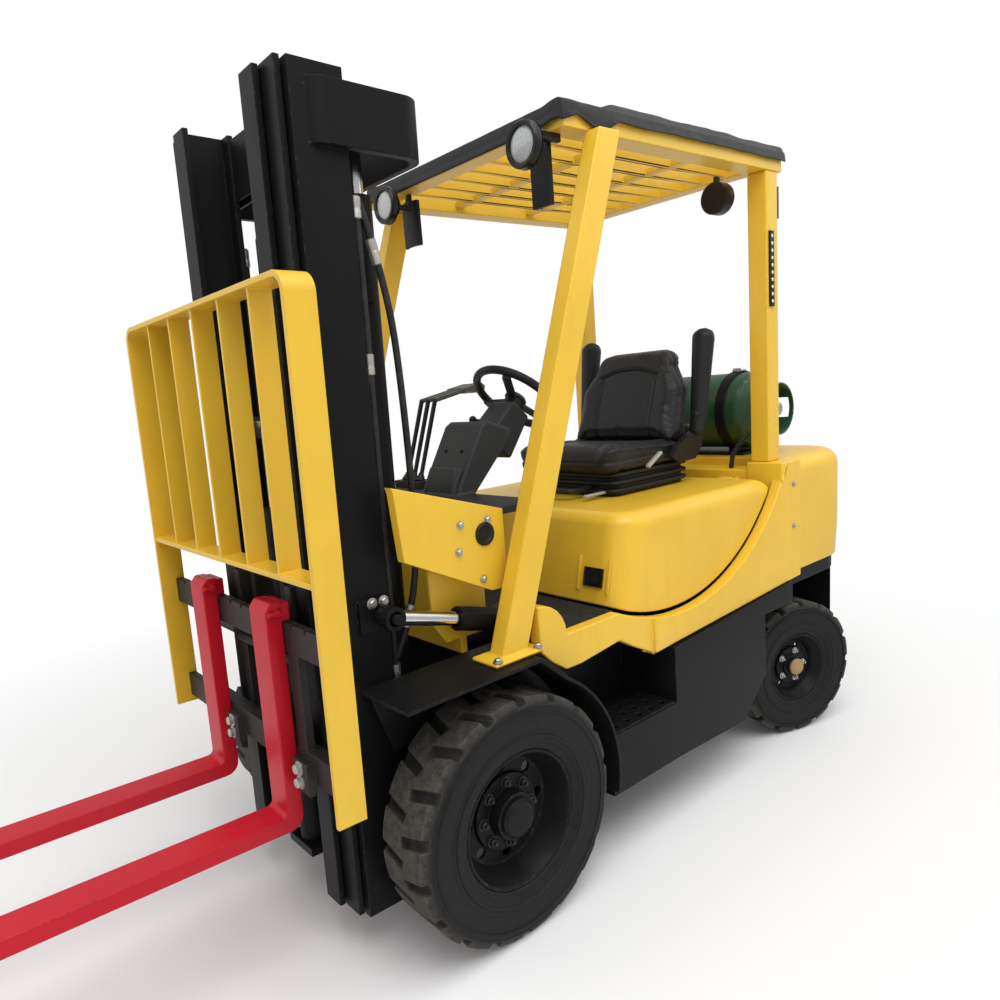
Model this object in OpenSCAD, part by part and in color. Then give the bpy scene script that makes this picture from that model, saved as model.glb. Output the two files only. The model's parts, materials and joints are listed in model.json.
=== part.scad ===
// Counterbalance forklift with a three-stage mast, side-shifting carriage and overhead guard.
// Millimetres. +X forward, +Y to the operator's left, +Z up. The origin is on the floor, under the middle.

/* [Wheels] */
// Distance between the drive axle and the steer axle
wheelbase = 1620; // [1600:5:1640]
// Outside diameter of a drive tyre
drive_tyre_d = 676; // [660:2:684]
// Width of a drive tyre
drive_tyre_w = 192; // [180:2:196]
// Diameter of the drive rim's tyre seat
drive_rim_d = 384; // [360:2:400]
// Distance between the insides of the drive tyres
drive_gap = 796; // [788:2:816]
// Outside diameter of a steer tyre
steer_tyre_d = 536; // [516:2:540]
// Width of a steer tyre
steer_tyre_w = 158; // [146:2:160]
// Diameter of the steer rim's tyre seat
steer_rim_d = 278; // [260:2:292]
// Width over the steer tyres
steer_span = 1088; // [1084:2:1100]
// Turn of the steer wheels to the right, as parked, in degrees
steer_turn = 17; // [0:1:30]

/* [Body] */
// Height of the operator's floor
floor_z = 775; // [770:1:785]
// Height of the hood's top
hood_z = 1056; // [1046:2:1066]
// Half width of the hood
hood_half_w = 505; // [495:1:510]
// Half width of the panels below the hood
panel_half_w = 540; // [534:1:546]
// Half width of the frame's side boxes
side_box_half_w = 552; // [548:1:558]
// Half width of the counterweight
weight_half_w = 512; // [500:1:522]
// Distance from the drive axle to the back of the counterweight
weight_back = 2064; // [2050:2:2090]
// Height of the counterweight's top
weight_z = 1108; // [1100:2:1116]
// Radius of the gas tank
gas_r = 155; // [140:1:158]

/* [Overhead guard] */
// Height of the guard's roof frame
guard_z = 2196; // [2170:2:2220]
// Half width over the guard's side beams
guard_half_w = 452; // [446:1:460]
// Number of fore-and-aft roof slats
slat_count = 7; // [4:1:8]

/* [Mast] */
// Backward lean of the mast as parked, in degrees
mast_lean = 1.5; // [0:0.1:2.5]
// Height of the mast's top when lowered
mast_top = 2216; // [2200:2:2240]
// Height of the mast's foot
mast_foot = 112; // [100:2:130]
// Height of the carriage above its lowest stop, as parked
carriage_now = 362; // [200:2:500]
// Shift of the forks to the right of centre, as parked
shift_now = 40; // [0:2:70]

/* [Forks] */
// Length of a fork blade
fork_l = 1070; // [900:10:1220]
// Width of a fork
fork_w = 100; // [80:2:125]
// Thickness of a fork
fork_t = 43; // [35:1:48]
// Distance from one fork's middle to the other's
fork_pitch = 430; // [320:5:700]
// Half width of the load backrest
rest_half_w = 550; // [520:1:552]
// Height of the load backrest above the forks' underside
rest_h = 1362; // [1300:2:1420]
// Number of upright bars between the backrest's side plates
rest_bars = 5; // [3:1:7]

/* [Hidden] */
$fn = 48;

// Running, seating and pin clearances
run_gap = 5;
seat_gap = 0.3;
pin_gap = 0.1;

// Colours
yellow = "#f2c400";
black = "#26272a";
dark = "#3a3c40";
red = "#c8102e";
steel = "#c4c7ca";
green = "#3f7d57";

// Axle heights and wheel places
axle_z = drive_tyre_d / 2;
steer_z = steer_tyre_d / 2;
tyre_in_y = drive_gap / 2;
drive_span = drive_gap + 2 * drive_tyre_w;
drive_y = (drive_span - drive_tyre_w) / 2;
steer_y = (steer_span - steer_tyre_w) / 2;
steer_x = -wheelbase;
kingpin_y = steer_span / 2 - 208;
axle_r = 60;
spindle_r = 46;
steer_spindle_r = 24;
arm_l = 70;
ram_half_l = kingpin_y - 206;
steer_max = 65;
rod_shift = -arm_l * sin(steer_max) * steer_turn / steer_max;

// Side frames and mast stand inside the drive tyres
tyre_gap = 53;
frame_y = tyre_in_y - 98;
frame_t = 30;
mast_half_w = tyre_in_y - tyre_gap;

// Rails: the three stages step forward and inwards by a flange and a running gap
rail_depth = 140;
rail_flange = 16;
rail_back = 215;
web_outer = 14;
web_inner = 12;
flange_w_outer = 60;
flange_w_middle = 78;
flange_w_inner = 74;
rail_step = rail_flange + run_gap;
outer_y0 = mast_half_w - flange_w_outer;
middle_y1 = mast_half_w - web_outer - run_gap;
middle_y0 = middle_y1 - flange_w_middle;
middle_web = outer_y0 - run_gap - 1;
inner_y1 = middle_web - web_inner - run_gap;
inner_y0 = inner_y1 - flange_w_inner;
inner_web = middle_y0 - run_gap - 1;
middle_back = rail_back + rail_step;
inner_back = middle_back + rail_step;
inner_front = inner_back + rail_depth;
tie_t = 11;
roller_r = rail_depth / 2 - rail_flange - seat_gap;

// Carriage, sideshift and forks, measured forward from the inner rails
bar_t = 20;
carriage_back = inner_front + 8;
shift_back = carriage_back + bar_t + run_gap;
shift_t = 24;
fork_back = shift_back + shift_t + seat_gap;
fork_face = fork_back + fork_t;
fork_low = 8;
fork_z = fork_low + carriage_now;
fork_shank = 612;
lower_bar_z = fork_z + 152;
bar_h = 78;
upper_bar_z = lower_bar_z + 407 - bar_h;

// Middle of the machine's length
fork_tip = (fork_face + fork_l) * cos(mast_lean) - (fork_z - axle_z) * sin(mast_lean);
mid_x = (fork_tip - weight_back) / 2;

// Ends of the hood, at its lower edge in front
hood_front = -505;
hood_back = -1392;

// Seam arc along the hood's lower edge
seam_r = 724;
seam_x = -801;
seam_z = 717 + seam_r;
seam_gap = 12;

// Tilt cylinders: base pin on the frame, rod eye on the outer rails
tilt_y = tyre_in_y + 7;
tilt_base = [-190, 815];
tilt_local = [249, 924];
tilt_eye = [tilt_local[0] * cos(mast_lean) - (tilt_local[1] - axle_z) * sin(mast_lean),
            axle_z + tilt_local[0] * sin(mast_lean) + (tilt_local[1] - axle_z) * cos(mast_lean)];
tilt_run = norm(tilt_eye - tilt_base);
tilt_angle = atan2(tilt_eye[1] - tilt_base[1], tilt_eye[0] - tilt_base[0]);
tilt_r = 33;
tilt_rod_r = 20;
tilt_pin_r = 14;
tilt_barrel_l = 230;

// Lift cylinders behind the outer rails
lift_r = 40;
lift_x = rail_back - 20 - lift_r - run_gap;
lift_y = outer_y0 - 35;
lift_rod_r = 22;
lift_low = 446;
lift_top = mast_top - 256;

// Free-lift cylinder between the inner rails
free_x = 326;
free_r = 42;
free_rod_r = 28;
free_top = 1190;
free_head = free_top + 34 + carriage_now / 2;
free_low = 196;
free_rod_low = free_low + 44 + carriage_now / 2;
pulley_r = 36;
chain_w = 26;
plate_t = 33;
plate_y = inner_y0 - run_gap - plate_t;
chain_y = (free_r + plate_y) / 2;

// Shared helpers
module placed() { translate([-mid_x, 0, 0]) children(); }
module on_mast() {
    placed() translate([0, 0, axle_z]) rotate([0, -mast_lean, 0]) translate([0, 0, -axle_z]) children();
}
module on_shift() { on_mast() translate([0, -shift_now, 0]) children(); }
module both_sides() {
    children();
    mirror([0, 1, 0]) children();
}
module block(lo, hi) { translate(lo) cube(hi - lo); }
module rod_x(r, x0, x1) { translate([x0, 0, 0]) rotate([0, 90, 0]) cylinder(r = r, h = x1 - x0); }
module rod_y(r, y0, y1) { translate([0, y0, 0]) rotate([-90, 0, 0]) cylinder(r = r, h = y1 - y0); }
// A side profile drawn in X and Z, from y0 to y1
module side_slab(y0, y1) { translate([0, y1, 0]) rotate([90, 0, 0]) linear_extrude(y1 - y0) children(); }
// A plan outline with round corners, middle at the origin
module round_plate(w, d, r) {
    square([w - 2 * r, d], center = true);
    square([w, d - 2 * r], center = true);
    for (sx = [-1, 1], sy = [-1, 1]) translate([sx * (w / 2 - r), sy * (d / 2 - r)]) circle(r);
}
// A ring or disc about the Y axis from a half profile in radius and Y
module turned() { rotate([-90, 0, 0]) rotate_extrude($fn = 72) children(); }
module seam_disc(grow) { translate([seam_x, seam_z]) circle(seam_r + grow, $fn = 180); }

// Frame and steps
band_front = 606;
band_rear = 656;
step_x0 = -(drive_tyre_d / 2 + 48 + 9) - seat_gap;
step_x1 = -720;
step_z = 415;
box_low = 222;
well_x = steer_x + 350;
well_z = steer_tyre_d + 34;

module side_box() {
    polygon([[step_x1, box_low], [step_x1, band_front - 2], [-1470, band_rear - 6], [-1470, well_z],
             [well_x, well_z], [well_x, 340], [-1125, box_low - 14]]);
}

module frame() {
    color(black) placed() difference() {
        union() {
            both_sides() {
                side_slab(frame_y, side_box_half_w) side_box();
                block([step_x1, frame_y, box_low], [step_x0, side_box_half_w, step_z]);
                block([well_x, frame_y, 340], [-60, frame_y + frame_t, floor_z - 42]);
                block([-62, frame_y, axle_z - 108], [108, frame_y + frame_t, axle_z + 150]);
                block([-1700, 0, well_z + 4], [well_x + 12, frame_y + frame_t, well_z + 30]);
                block([-232, frame_y + 20, 690], [-150, tilt_y - 34, 850]);
                translate([tilt_base[0], 0, tilt_base[1]]) rod_y(tilt_pin_r, tilt_y - 40, tilt_y + 34);
            }
            for (x = [-690, -1070]) block([x, -frame_y - 5, 330], [x + 60, frame_y + 5, 380 - seat_gap]);
            block([-120, -frame_y - 5, 560], [-95, frame_y + 5, floor_z - 42]);
            block([well_x, -frame_y - 5, 340], [well_x + 25, frame_y + 5, well_z + 10]);
            for (s = [-1, 1])
                block([steer_x + s * 50 - 10, -92, steer_z - 50], [steer_x + s * 50 + 10, 92, well_z + 8]);
        }
        translate([0, 0, axle_z]) rod_y(axle_r + seat_gap, -tyre_in_y - 102, tyre_in_y + 102);
        translate([steer_x, 0, steer_z]) rod_x(32 + seat_gap, -100, 100);
    }
}

module step_treads() {
    color(black) placed() both_sides() difference() {
        block([step_x1 + 6, 410, step_z], [step_x0 - 8, side_box_half_w - 3, step_z + 8]);
        for (i = [0:4], j = [0:2])
            translate([step_x1 + 44 + i * 58 + (j % 2) * 24, 436 + j * 42, step_z - 5]) cylinder(r = 11, h = 20, $fn = 24);
    }
}

// Fenders over and behind the drive tyres
fender_r = axle_z + 48;
fender_t = 9;
fender_top = 752;
fender_y1 = drive_span / 2 - 6;
fender_turn_x = -190;

module fenders() {
    color(black) placed() both_sides() {
        side_slab(tilt_y - 32, fender_y1) difference() {
            union() {
                translate([0, axle_z]) difference() {
                    circle(fender_r + fender_t, $fn = 96);
                    circle(fender_r, $fn = 96);
                    translate([fender_turn_x, -900]) square(1800);
                    translate([-900, -1084]) square([1800, 1000]);
                }
                polygon([[fender_turn_x, axle_z + sqrt(pow(fender_r, 2) - pow(fender_turn_x, 2))],
                         [fender_turn_x - 8, axle_z + sqrt(pow(fender_r + fender_t, 2) - pow(fender_turn_x, 2))],
                         [-110, fender_top + fender_t], [-100, fender_top]]);
                translate([-110, fender_top]) square([440, fender_t]);
            }
        }
    }
}

// Body panels below the hood, with the rear pillars
panel_t = 42;
pillar_y = 396;
weight_front = -1556;

module side_panels() {
    color(yellow) placed() both_sides() {
        side_slab(panel_half_w - panel_t, panel_half_w) difference() {
            polygon([[-640, band_front], [weight_front, band_rear], [weight_front, weight_z], [-1412, weight_z], [-1380, hood_z],
                     [-1000, hood_z], [-640, hood_z]]);
            seam_disc(seam_gap);
        }
        block([weight_front, pillar_y, 960], [-1420, panel_half_w - 1, weight_z]);
        side_slab(panel_half_w - panel_t - 10, panel_half_w - 12) difference() {
            polygon(concat(
                [[-641, floor_z], [-262, floor_z]],
                [for (a = [0:15:90]) [-154 - 106 * cos(a), floor_z + 4 + 100 * sin(a)]],
                [[-154, floor_z], [-154, fender_top + fender_t - 12], [-198, fender_top - 45], [-250, fender_top - 80],
                 [-311, fender_top - 81], [-484, fender_top - 62], [-560, band_front + 40], [-641, band_front]]));
            seam_disc(seam_gap);
        }
    }
}

module floor_plate() {
    color(black) placed() translate([0, 0, floor_z - 20]) linear_extrude(20) {
        translate([-238, -frame_y - 10]) square([208, 2 * frame_y + 20]);
        translate([hood_front + run_gap, -(panel_half_w - panel_t - 10)])
            square([-236 - hood_front - run_gap, 2 * (panel_half_w - panel_t - 10)]);
    }
}

// Deck behind the hood, with the hood's hinge pins
hinge_x = hood_back - 14;
hinge_z = hood_z - 18;
hinge_pin_r = 8;

module rear_deck() {
    color(yellow) placed() {
        block([weight_front, -pillar_y, 960], [-1424, pillar_y, weight_z - 30]);
        both_sides() translate([hinge_x, 0, hinge_z]) {
            rod_y(hinge_pin_r, 282, 358);
            for (y = [280, 346]) block([-20, y, -14], [9, y + 14, 10]);
        }
    }
}

// Cowl in front of the operator
cowl_y = tilt_y + 35;
cowl_t = 30;

module cowl() {
    color(yellow) placed() {
        block([-30, -tilt_y + 41, floor_z - 20], [-8, tilt_y - 41, 1000]);
        block([-30, -cowl_y + 5, 985], [-8, cowl_y - 5, 1150]);
        both_sides() {
            side_slab(cowl_y - cowl_t, cowl_y)
                polygon([[-132, 1149], [217, 1256], [212, 1240], [200, 1068], [-73, 933], [-132, 930]]);
            side_slab(tilt_y - 55, tilt_y - 41) polygon([[-108, 800], [-108, 960], [60, 1020], [80, 1000], [80, 860], [40, 800]]);
        }
        side_slab(-cowl_y + 5, cowl_y - 5) polygon([[-132, 1149], [-132, 1125], [-8, 1120], [-8, 1187]]);
    }
}

// The operator sits a little left of the middle
operator_y = 30;
wheel_c = [-593, 1428];
wheel_tilt = 42;
tray_back = -300;
tray_z = 1150;

module dash_console() {
    color(dark) placed() {
        side_slab(-tilt_y + 20, tilt_y - 20)
            polygon([[-132 - seat_gap, tray_z - 3], [-132 - seat_gap, tray_z - 30], [tray_back, tray_z - 34], [tray_back, tray_z - 8],
                     [tray_back + 16, tray_z]]);
        translate([0, operator_y, 0]) {
            side_slab(-96, 96) polygon([[-228, tray_z - 8], [-244, tray_z + 32], [-348, tray_z + 206], [-372, tray_z + 220],
                                        [-470, tray_z + 188], [-478, tray_z + 166], [tray_back, tray_z - 8]]);
            side_slab(-70, 70) polygon([[-226, tray_z - 8], [-227, tray_z + 40], [-252, tray_z + 88], [-300, tray_z + 40],
                                        [-280, tray_z - 8]]);
            translate([wheel_c[0], 0, wheel_c[1]]) rotate([0, -wheel_tilt, 0]) {
                side_slab(-58, 58) polygon([[-60, -210], [66, -210], [44, -46 - seat_gap], [-44, -46 - seat_gap]]);
                translate([0, 0, -80]) cylinder(r = 14, h = 56);
            }
        }
    }
}

module control_levers() {
    lever_y = -250;
    lever_pitch = 40;
    color(dark) placed() translate([0, lever_y, 0]) {
        block([tray_back - 66, -80, tray_z - 32], [tray_back, 80, tray_z + 22]);
        for (i = [-1:1]) translate([0, i * lever_pitch, 0]) {
            side_slab(-6, 6) polygon([[-322, tray_z + 18], [-335, tray_z + 18], [-431, 1436], [-570, 1464], [-570, 1478], [-421, 1450]]);
            side_slab(-15, 15) polygon([[-556, 1464], [-630, 1456], [-648, 1462], [-652, 1480], [-636, 1492], [-556, 1478]]);
        }
    }
}

module pedals() {
    color(black) placed() for (y = [-230, -120, 90]) {
        side_slab(y - 7, y + 7) polygon([[-30, 870], [-30, 890], [-90, 860], [-150, 800], [-138, 790], [-84, 846]]);
        translate([-140, y, 803]) rotate([0, 38, 0]) cube([70, 70, 10], center = true);
    }
}

// Overhead guard
leg_w = 56;
roof_front = -420;
roof_back = -1545;
beam_w = 52;
beam_h = 62;
rear_leg_x = -1520;

module guard_legs() {
    color(yellow) placed() both_sides() {
        side_slab(tilt_y + 63, tilt_y + 63 + leg_w) polygon([[-112, fender_top + fender_t + 12], [-18, fender_top + fender_t + 12],
                                             [-512, guard_z - beam_h], [-600, guard_z - beam_h]]);
        block([-150, tilt_y + 41, fender_top + fender_t], [24, tilt_y + 143, fender_top + fender_t + 13]);
        block([rear_leg_x, guard_half_w - 50, weight_z], [rear_leg_x + 78, guard_half_w + 24, guard_z - beam_h]);
    }
}

module guard_roof() {
    slat_pitch = 2 * (guard_half_w - beam_w) / (slat_count + 1);
    color(yellow) placed() {
        both_sides() block([roof_back, guard_half_w - beam_w, guard_z - beam_h], [roof_front, guard_half_w + 26, guard_z]);
        block([roof_front - 70, -guard_half_w, guard_z - 46], [roof_front, guard_half_w, guard_z - 2]);
        block([roof_back, -guard_half_w, guard_z - 46], [roof_back + 70, guard_half_w, guard_z - 2]);
        for (x = [roof_front - 350, roof_front - 720])
            block([x - 20, -guard_half_w, guard_z - 44], [x + 20, guard_half_w, guard_z - 24]);
        for (i = [1:slat_count])
            translate([0, -(guard_half_w - beam_w) + i * slat_pitch, 0])
                block([roof_back + 10, -8, guard_z - 46], [roof_front - 10, 8, guard_z - 6]);
    }
}

// A soft cover on the roof, folded down in front and at its front corners
cover_fold = 50;
cover_t = 34;
flap_back = roof_front - 340;
flap_tip = roof_front - 142;

module roof_cover() {
    fold_y = guard_half_w + 26 + seat_gap;
    color(black) placed() {
        block([roof_back - 12, -guard_half_w - 22, guard_z], [roof_front + 12, guard_half_w + 22, guard_z + cover_t]);
        block([roof_front + seat_gap, -fold_y - 9, guard_z - cover_fold], [roof_front + 12, fold_y + 9, guard_z + cover_t]);
        both_sides() {
            block([flap_back, guard_half_w, guard_z], [roof_front + 12, fold_y + 9, guard_z + cover_t - 8]);
            side_slab(fold_y, fold_y + 9)
                polygon([[roof_front + 12, guard_z + 10], [roof_front + 12, guard_z - cover_fold], [flap_tip, guard_z - beam_h + 2],
                         [flap_back, guard_z - 12], [flap_back, guard_z + 10]]);
        }
    }
}

lamp_r = 60;

// A round work lamp that shines along +X, its lens at the origin
module work_lamp() {
    rotate([0, -90, 0]) {
        cylinder(r = lamp_r, h = 16);
        translate([0, 0, 15]) cylinder(r1 = lamp_r - 2, r2 = 30, h = 29);
    }
}

module lamps() {
    left_lamp = [roof_front + 100, 420, guard_z - 105];
    right_lamp = [roof_front + 62, -298, guard_z - 90];
    color(black) placed() {
        translate(left_lamp) {
            work_lamp();
            block([-140, -10, 20], [-30, 10, 105 - beam_h]);
        }
        translate(right_lamp) {
            work_lamp();
            block([-110, -10, -10], [-36, 10, 6]);
            block([-110, -10, -10], [-96, 10, 90 - 46]);
        }
        both_sides() block([rear_leg_x - 26, guard_half_w - 44, guard_z - 216], [rear_leg_x, guard_half_w + 16, guard_z - 106]);
        translate([roof_back + 130, 300, guard_z - 120]) {
            rod_x(56, -20, 24);
            block([-8, -9, 40], [12, 9, 120 - 46]);
        }
    }
}

mirror_w = 74;

module mirrors() {
    color(black) placed() {
        translate([roof_front - 28, guard_half_w - beam_w - 34, 0]) {
            block([0, -mirror_w / 2, guard_z - 240], [16, mirror_w / 2, guard_z - 64]);
            block([2, -28, guard_z - 66], [12, -12, guard_z - 46]);
        }
        // The convex one, a slice of a tube about an upright axis
        translate([roof_front - 72, -guard_half_w + beam_w + 62, guard_z - 212]) {
            intersection() {
                translate([-96, 0, 0]) difference() {
                    cylinder(r = 110, h = 152);
                    translate([0, 0, -1]) cylinder(r = 98, h = 160);
                }
                block([-40, -46, 0], [40, 46, 152]);
            }
            block([4, -10, 140], [12, 10, 212 - 46]);
        }
    }
}

// Counterweight, gas tank
weight_low = 660;
weight_edge = 64;
base_low = 230;
tow_r = 17;
tow_x = 62;
tow_z = 380;
tow_l = 140;

module weight_plan(grow) {
    difference() {
        translate([weight_front - (weight_back + weight_front) / 2 + 150, 0])
            round_plate(weight_back + weight_front + 300 - 2 * grow, 2 * weight_half_w - 2 * grow, 190 - grow);
        translate([weight_front, -900]) square(1800);
    }
}

module counterweight() {
    color(yellow) placed() difference() {
        hull() {
            translate([0, 0, weight_low]) linear_extrude(1) weight_plan(8);
            translate([0, 0, weight_low + 150]) linear_extrude(1) weight_plan(0);
            for (a = [0:18:90]) translate([0, 0, weight_z - weight_edge + weight_edge * sin(a) - 0.5])
                linear_extrude(0.5) weight_plan(weight_edge * (1 - cos(a)));
        }
        for (i = [0:4]) translate([-weight_back - 10, -300, 800 + i * 44]) cube([70, 600, 26]);
    }
}

module counterweight_base() {
    color(black) placed() difference() {
        translate([0, 0, base_low]) linear_extrude(weight_low - base_low) weight_plan(22);
        translate([steer_x - 352, -900, 0]) cube([1000, 1800, well_z + 30 + seat_gap]);
        translate([-weight_back + tow_x, 0, base_low - 1]) cylinder(r = tow_r, h = tow_z + tow_l - base_low + 10);
        translate([-weight_back - 30, -70, 420]) cube([140, 140, 75]);
        translate([-weight_back - 30, -60, tow_z + tow_l]) cube([140, 120, 110]);
    }
}

gas_x = -1725;
gas_z = weight_z + 24 + gas_r;

module tank_bracket() {
    color(black) placed() {
        block([gas_x - 100, -260, weight_z], [gas_x + 100, 260, weight_z + 12]);
        for (y = [-190, 190]) translate([gas_x, 0, gas_z]) side_slab(y - 20, y + 20) difference() {
            union() {
                circle(gas_r + 8, $fn = 72);
                translate([-60, -gas_r - 24 + 1]) square([120, 40]);
            }
            circle(gas_r + seat_gap, $fn = 72);
        }
    }
}

gas_half_l = 242;
gas_dome = 72;

module gas_tank() {
    color(green) placed() translate([gas_x, 0, gas_z]) {
        turned() polygon(concat([[0, -gas_half_l - gas_dome]],
            [for (a = [80:-20:0]) [gas_r * cos(a), -gas_half_l - gas_dome * sin(a)]],
            [for (a = [0:20:80]) [gas_r * cos(a), gas_half_l + gas_dome * sin(a)]], [[0, gas_half_l + gas_dome]]));
        difference() {
            rod_y(105, gas_half_l + 30, gas_half_l + 130);
            rod_y(99, gas_half_l + 20, gas_half_l + 140);
            block([-150, gas_half_l + 60, -40], [150, gas_half_l + 110, 40]);
        }
        rod_y(28, gas_half_l + 60, gas_half_l + 112);
    }
}

// Axles and engine
module drive_axle() {
    color(black) placed() translate([0, 0, axle_z]) {
        rod_y(axle_r, -frame_y - 38, frame_y + 38);
        rod_y(112, -120, 120);
        rod_x(70, -330, -20);
        both_sides() {
            rod_y(132, frame_y + 38, frame_y + 52);
            rod_y(spindle_r, frame_y + 50, drive_y + 66);
        }
    }
}

module steer_axle() {
    color(black) placed() translate([steer_x, 0, steer_z]) difference() {
        union() {
            block([-36, -kingpin_y + 30, -40], [36, kingpin_y - 30, 40]);
            rod_x(32, -62, 62);
            both_sides() for (z = [-67, 47]) translate([0, kingpin_y, z]) {
                cylinder(r = 38, h = 20);
                block([-36, -100, 0], [36, 0, 20]);
            }
            both_sides() block([-36, kingpin_y - 100, -67], [36, kingpin_y - 62, 67]);
            translate([100, 0, 12]) rod_y(36, -ram_half_l, ram_half_l);
            both_sides() block([30, ram_half_l - 26, -16], [90, ram_half_l - 8, 40]);
        }
        both_sides() translate([0, kingpin_y, -100]) cylinder(r = 17 + pin_gap, h = 200);
        both_sides() block([-60, kingpin_y - 44, -47], [60, kingpin_y + 60, 47]);
        translate([100, 0, 12]) rod_y(17, -kingpin_y, kingpin_y);
        both_sides() translate([0, kingpin_y, -24]) intersection() {
            cylinder(r = arm_l + 18 + run_gap, h = 28);
            block([-24, -120, -1], [120, 120, 60]);
        }
    }
}

module engine_block() {
    color(dark) placed() {
        block([-1130, -215, 380], [-610, 215, 950]);
        block([-612, -140, 300], [-360, 140, 560]);
    }
}

// Hood and seat
hood_t = 16;
hood_corner = 90;
hood_edge = 52;
hood_lean = 55;

module hood_plan(front, shrink) {
    corner_x = front - hood_corner;
    translate([hood_back + shrink, -hood_half_w + shrink])
        square([corner_x - hood_back - shrink, 2 * (hood_half_w - shrink)]);
    translate([corner_x - 1, -hood_half_w + hood_corner])
        square([hood_corner + 1 - shrink, 2 * (hood_half_w - hood_corner)]);
    for (s = [-1, 1]) translate([corner_x, s * (hood_half_w - hood_corner)]) circle(hood_corner - shrink);
}

// The hood's outside, or its inside when thinner by a wall
module hood_form(wall) {
    hull() {
        translate([0, 0, 690]) linear_extrude(1) hood_plan(hood_front + 22, wall);
        for (a = [0:18:90]) translate([0, 0, hood_z - wall - (hood_edge - wall) * (1 - sin(a)) - 0.5])
            linear_extrude(0.5) hood_plan(hood_front - hood_lean, wall + (hood_edge - wall) * (1 - cos(a)));
    }
}

module hood() {
    color(yellow) placed() difference() {
        union() {
            difference() {
                hood_form(0);
                hood_form(hood_t);
                side_slab(-600, 600) difference() {
                    translate([-1600, 500]) square([1400, 560]);
                    seam_disc(0);
                }
            }
            both_sides() translate([hinge_x, 0, hinge_z]) {
                rod_y(15, 297, 343);
                block([0, 297, -12], [34, 343, 10]);
            }
        }
        translate([hinge_x, 0, hinge_z]) rod_y(hinge_pin_r + pin_gap, -400, 400);
    }
}

// Outline of a bar with round ends from p to q
function link(p, q, r) = let (a = atan2(q[1] - p[1], q[0] - p[0])) concat(
    [for (t = [90:20:270]) p + r * [cos(a + t), sin(a + t)]], [for (t = [-90:20:90]) q + r * [cos(a + t), sin(a + t)]]);

seat_x = -1045;
fold_h = 28;
seat_z = hood_z + 3 * fold_h;

module seat_base() {
    color(black) placed() translate([seat_x, operator_y, hood_z])
        for (i = [0:2]) translate([0, 0, i * fold_h]) {
            linear_extrude(fold_h / 2) round_plate(416, 416, 40);
            translate([0, 0, fold_h / 2]) linear_extrude(fold_h / 2) round_plate(446, 446, 44);
        }
}

module seat_cushion() {
    color(black) placed() translate([0, operator_y, 0]) intersection() {
        side_slab(-250, 250) polygon([[-760, seat_z + 34], [-778, seat_z], [-1240, seat_z], [-1240, seat_z + 60],
                                      [-1120, seat_z + 80], [-830, seat_z + 98], [-782, seat_z + 84]]);
        translate([-1010, 0, seat_z - 5]) linear_extrude(200) round_plate(500, 500, 64);
    }
}

back_h = 440;

module seat_back() {
    color(black) placed() translate([0, operator_y, 0]) intersection() {
        side_slab(-245, 245)
            polygon([[-1120, seat_z + 80], [-1240, seat_z + 60], [-1290, seat_z + 310], [-1318, seat_z + back_h - 20],
                     [-1295, seat_z + back_h], [-1245, seat_z + back_h - 12], [-1182, seat_z + 260]]);
        translate([-1400, 0, seat_z]) rotate([90, 0, 90]) linear_extrude(400)
            polygon(concat([[-245, 40], [245, 40], [245, 270]],
                           [for (a = [0:15:90]) [110 + 80 * cos(a), back_h - 78 + 80 * sin(a)]],
                           [for (a = [90:15:180]) [-110 + 80 * cos(a), back_h - 78 + 80 * sin(a)]], [[-245, 270]]));
    }
}

module armrests() {
    color(black) placed() translate([0, operator_y, 0]) both_sides() side_slab(245, 300) {
        polygon(link([-1258, seat_z + 170], [-1300, seat_z + 440], 28));
        polygon(link([-1240, seat_z + 110], [-1257, seat_z + 182], 20));
    }
}

// Wheels, drawn about the origin with the outer face towards +Y
lug_depth = 20;

// One groove in from the +Y shoulder, between two tread blocks
module groove(d, w, groove_w) {
    translate([0, 0, d / 2 - lug_depth]) rotate([0, 0, 14]) block([-groove_w / 2, -3, 0], [groove_w / 2, w, 60]);
}
module tyre(d, w, rim_d, lugs, groove_w) {
    color(black) difference() {
        turned() polygon([
            [rim_d / 2, -w * 0.42], [rim_d / 2 + 14, -w * 0.47], [d / 2 - 46, -w * 0.5], [d / 2 - 24, -w * 0.49],
            [d / 2, -w * 0.42], [d / 2, w * 0.42], [d / 2 - 24, w * 0.49], [d / 2 - 46, w * 0.5],
            [rim_d / 2 + 14, w * 0.47], [rim_d / 2, w * 0.42]]);
        for (i = [0:lugs - 1]) {
            rotate([0, i * 360 / lugs, 0]) groove(d, w, groove_w);
            mirror([0, 1, 0]) rotate([0, (i + 0.5) * 360 / lugs, 0]) groove(d, w, groove_w);
        }
    }
}
module drive_tyre() { tyre(drive_tyre_d, drive_tyre_w, drive_rim_d, 18, 30); }
module steer_tyre() { tyre(steer_tyre_d, steer_tyre_w, steer_rim_d, 16, 26); }
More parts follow.
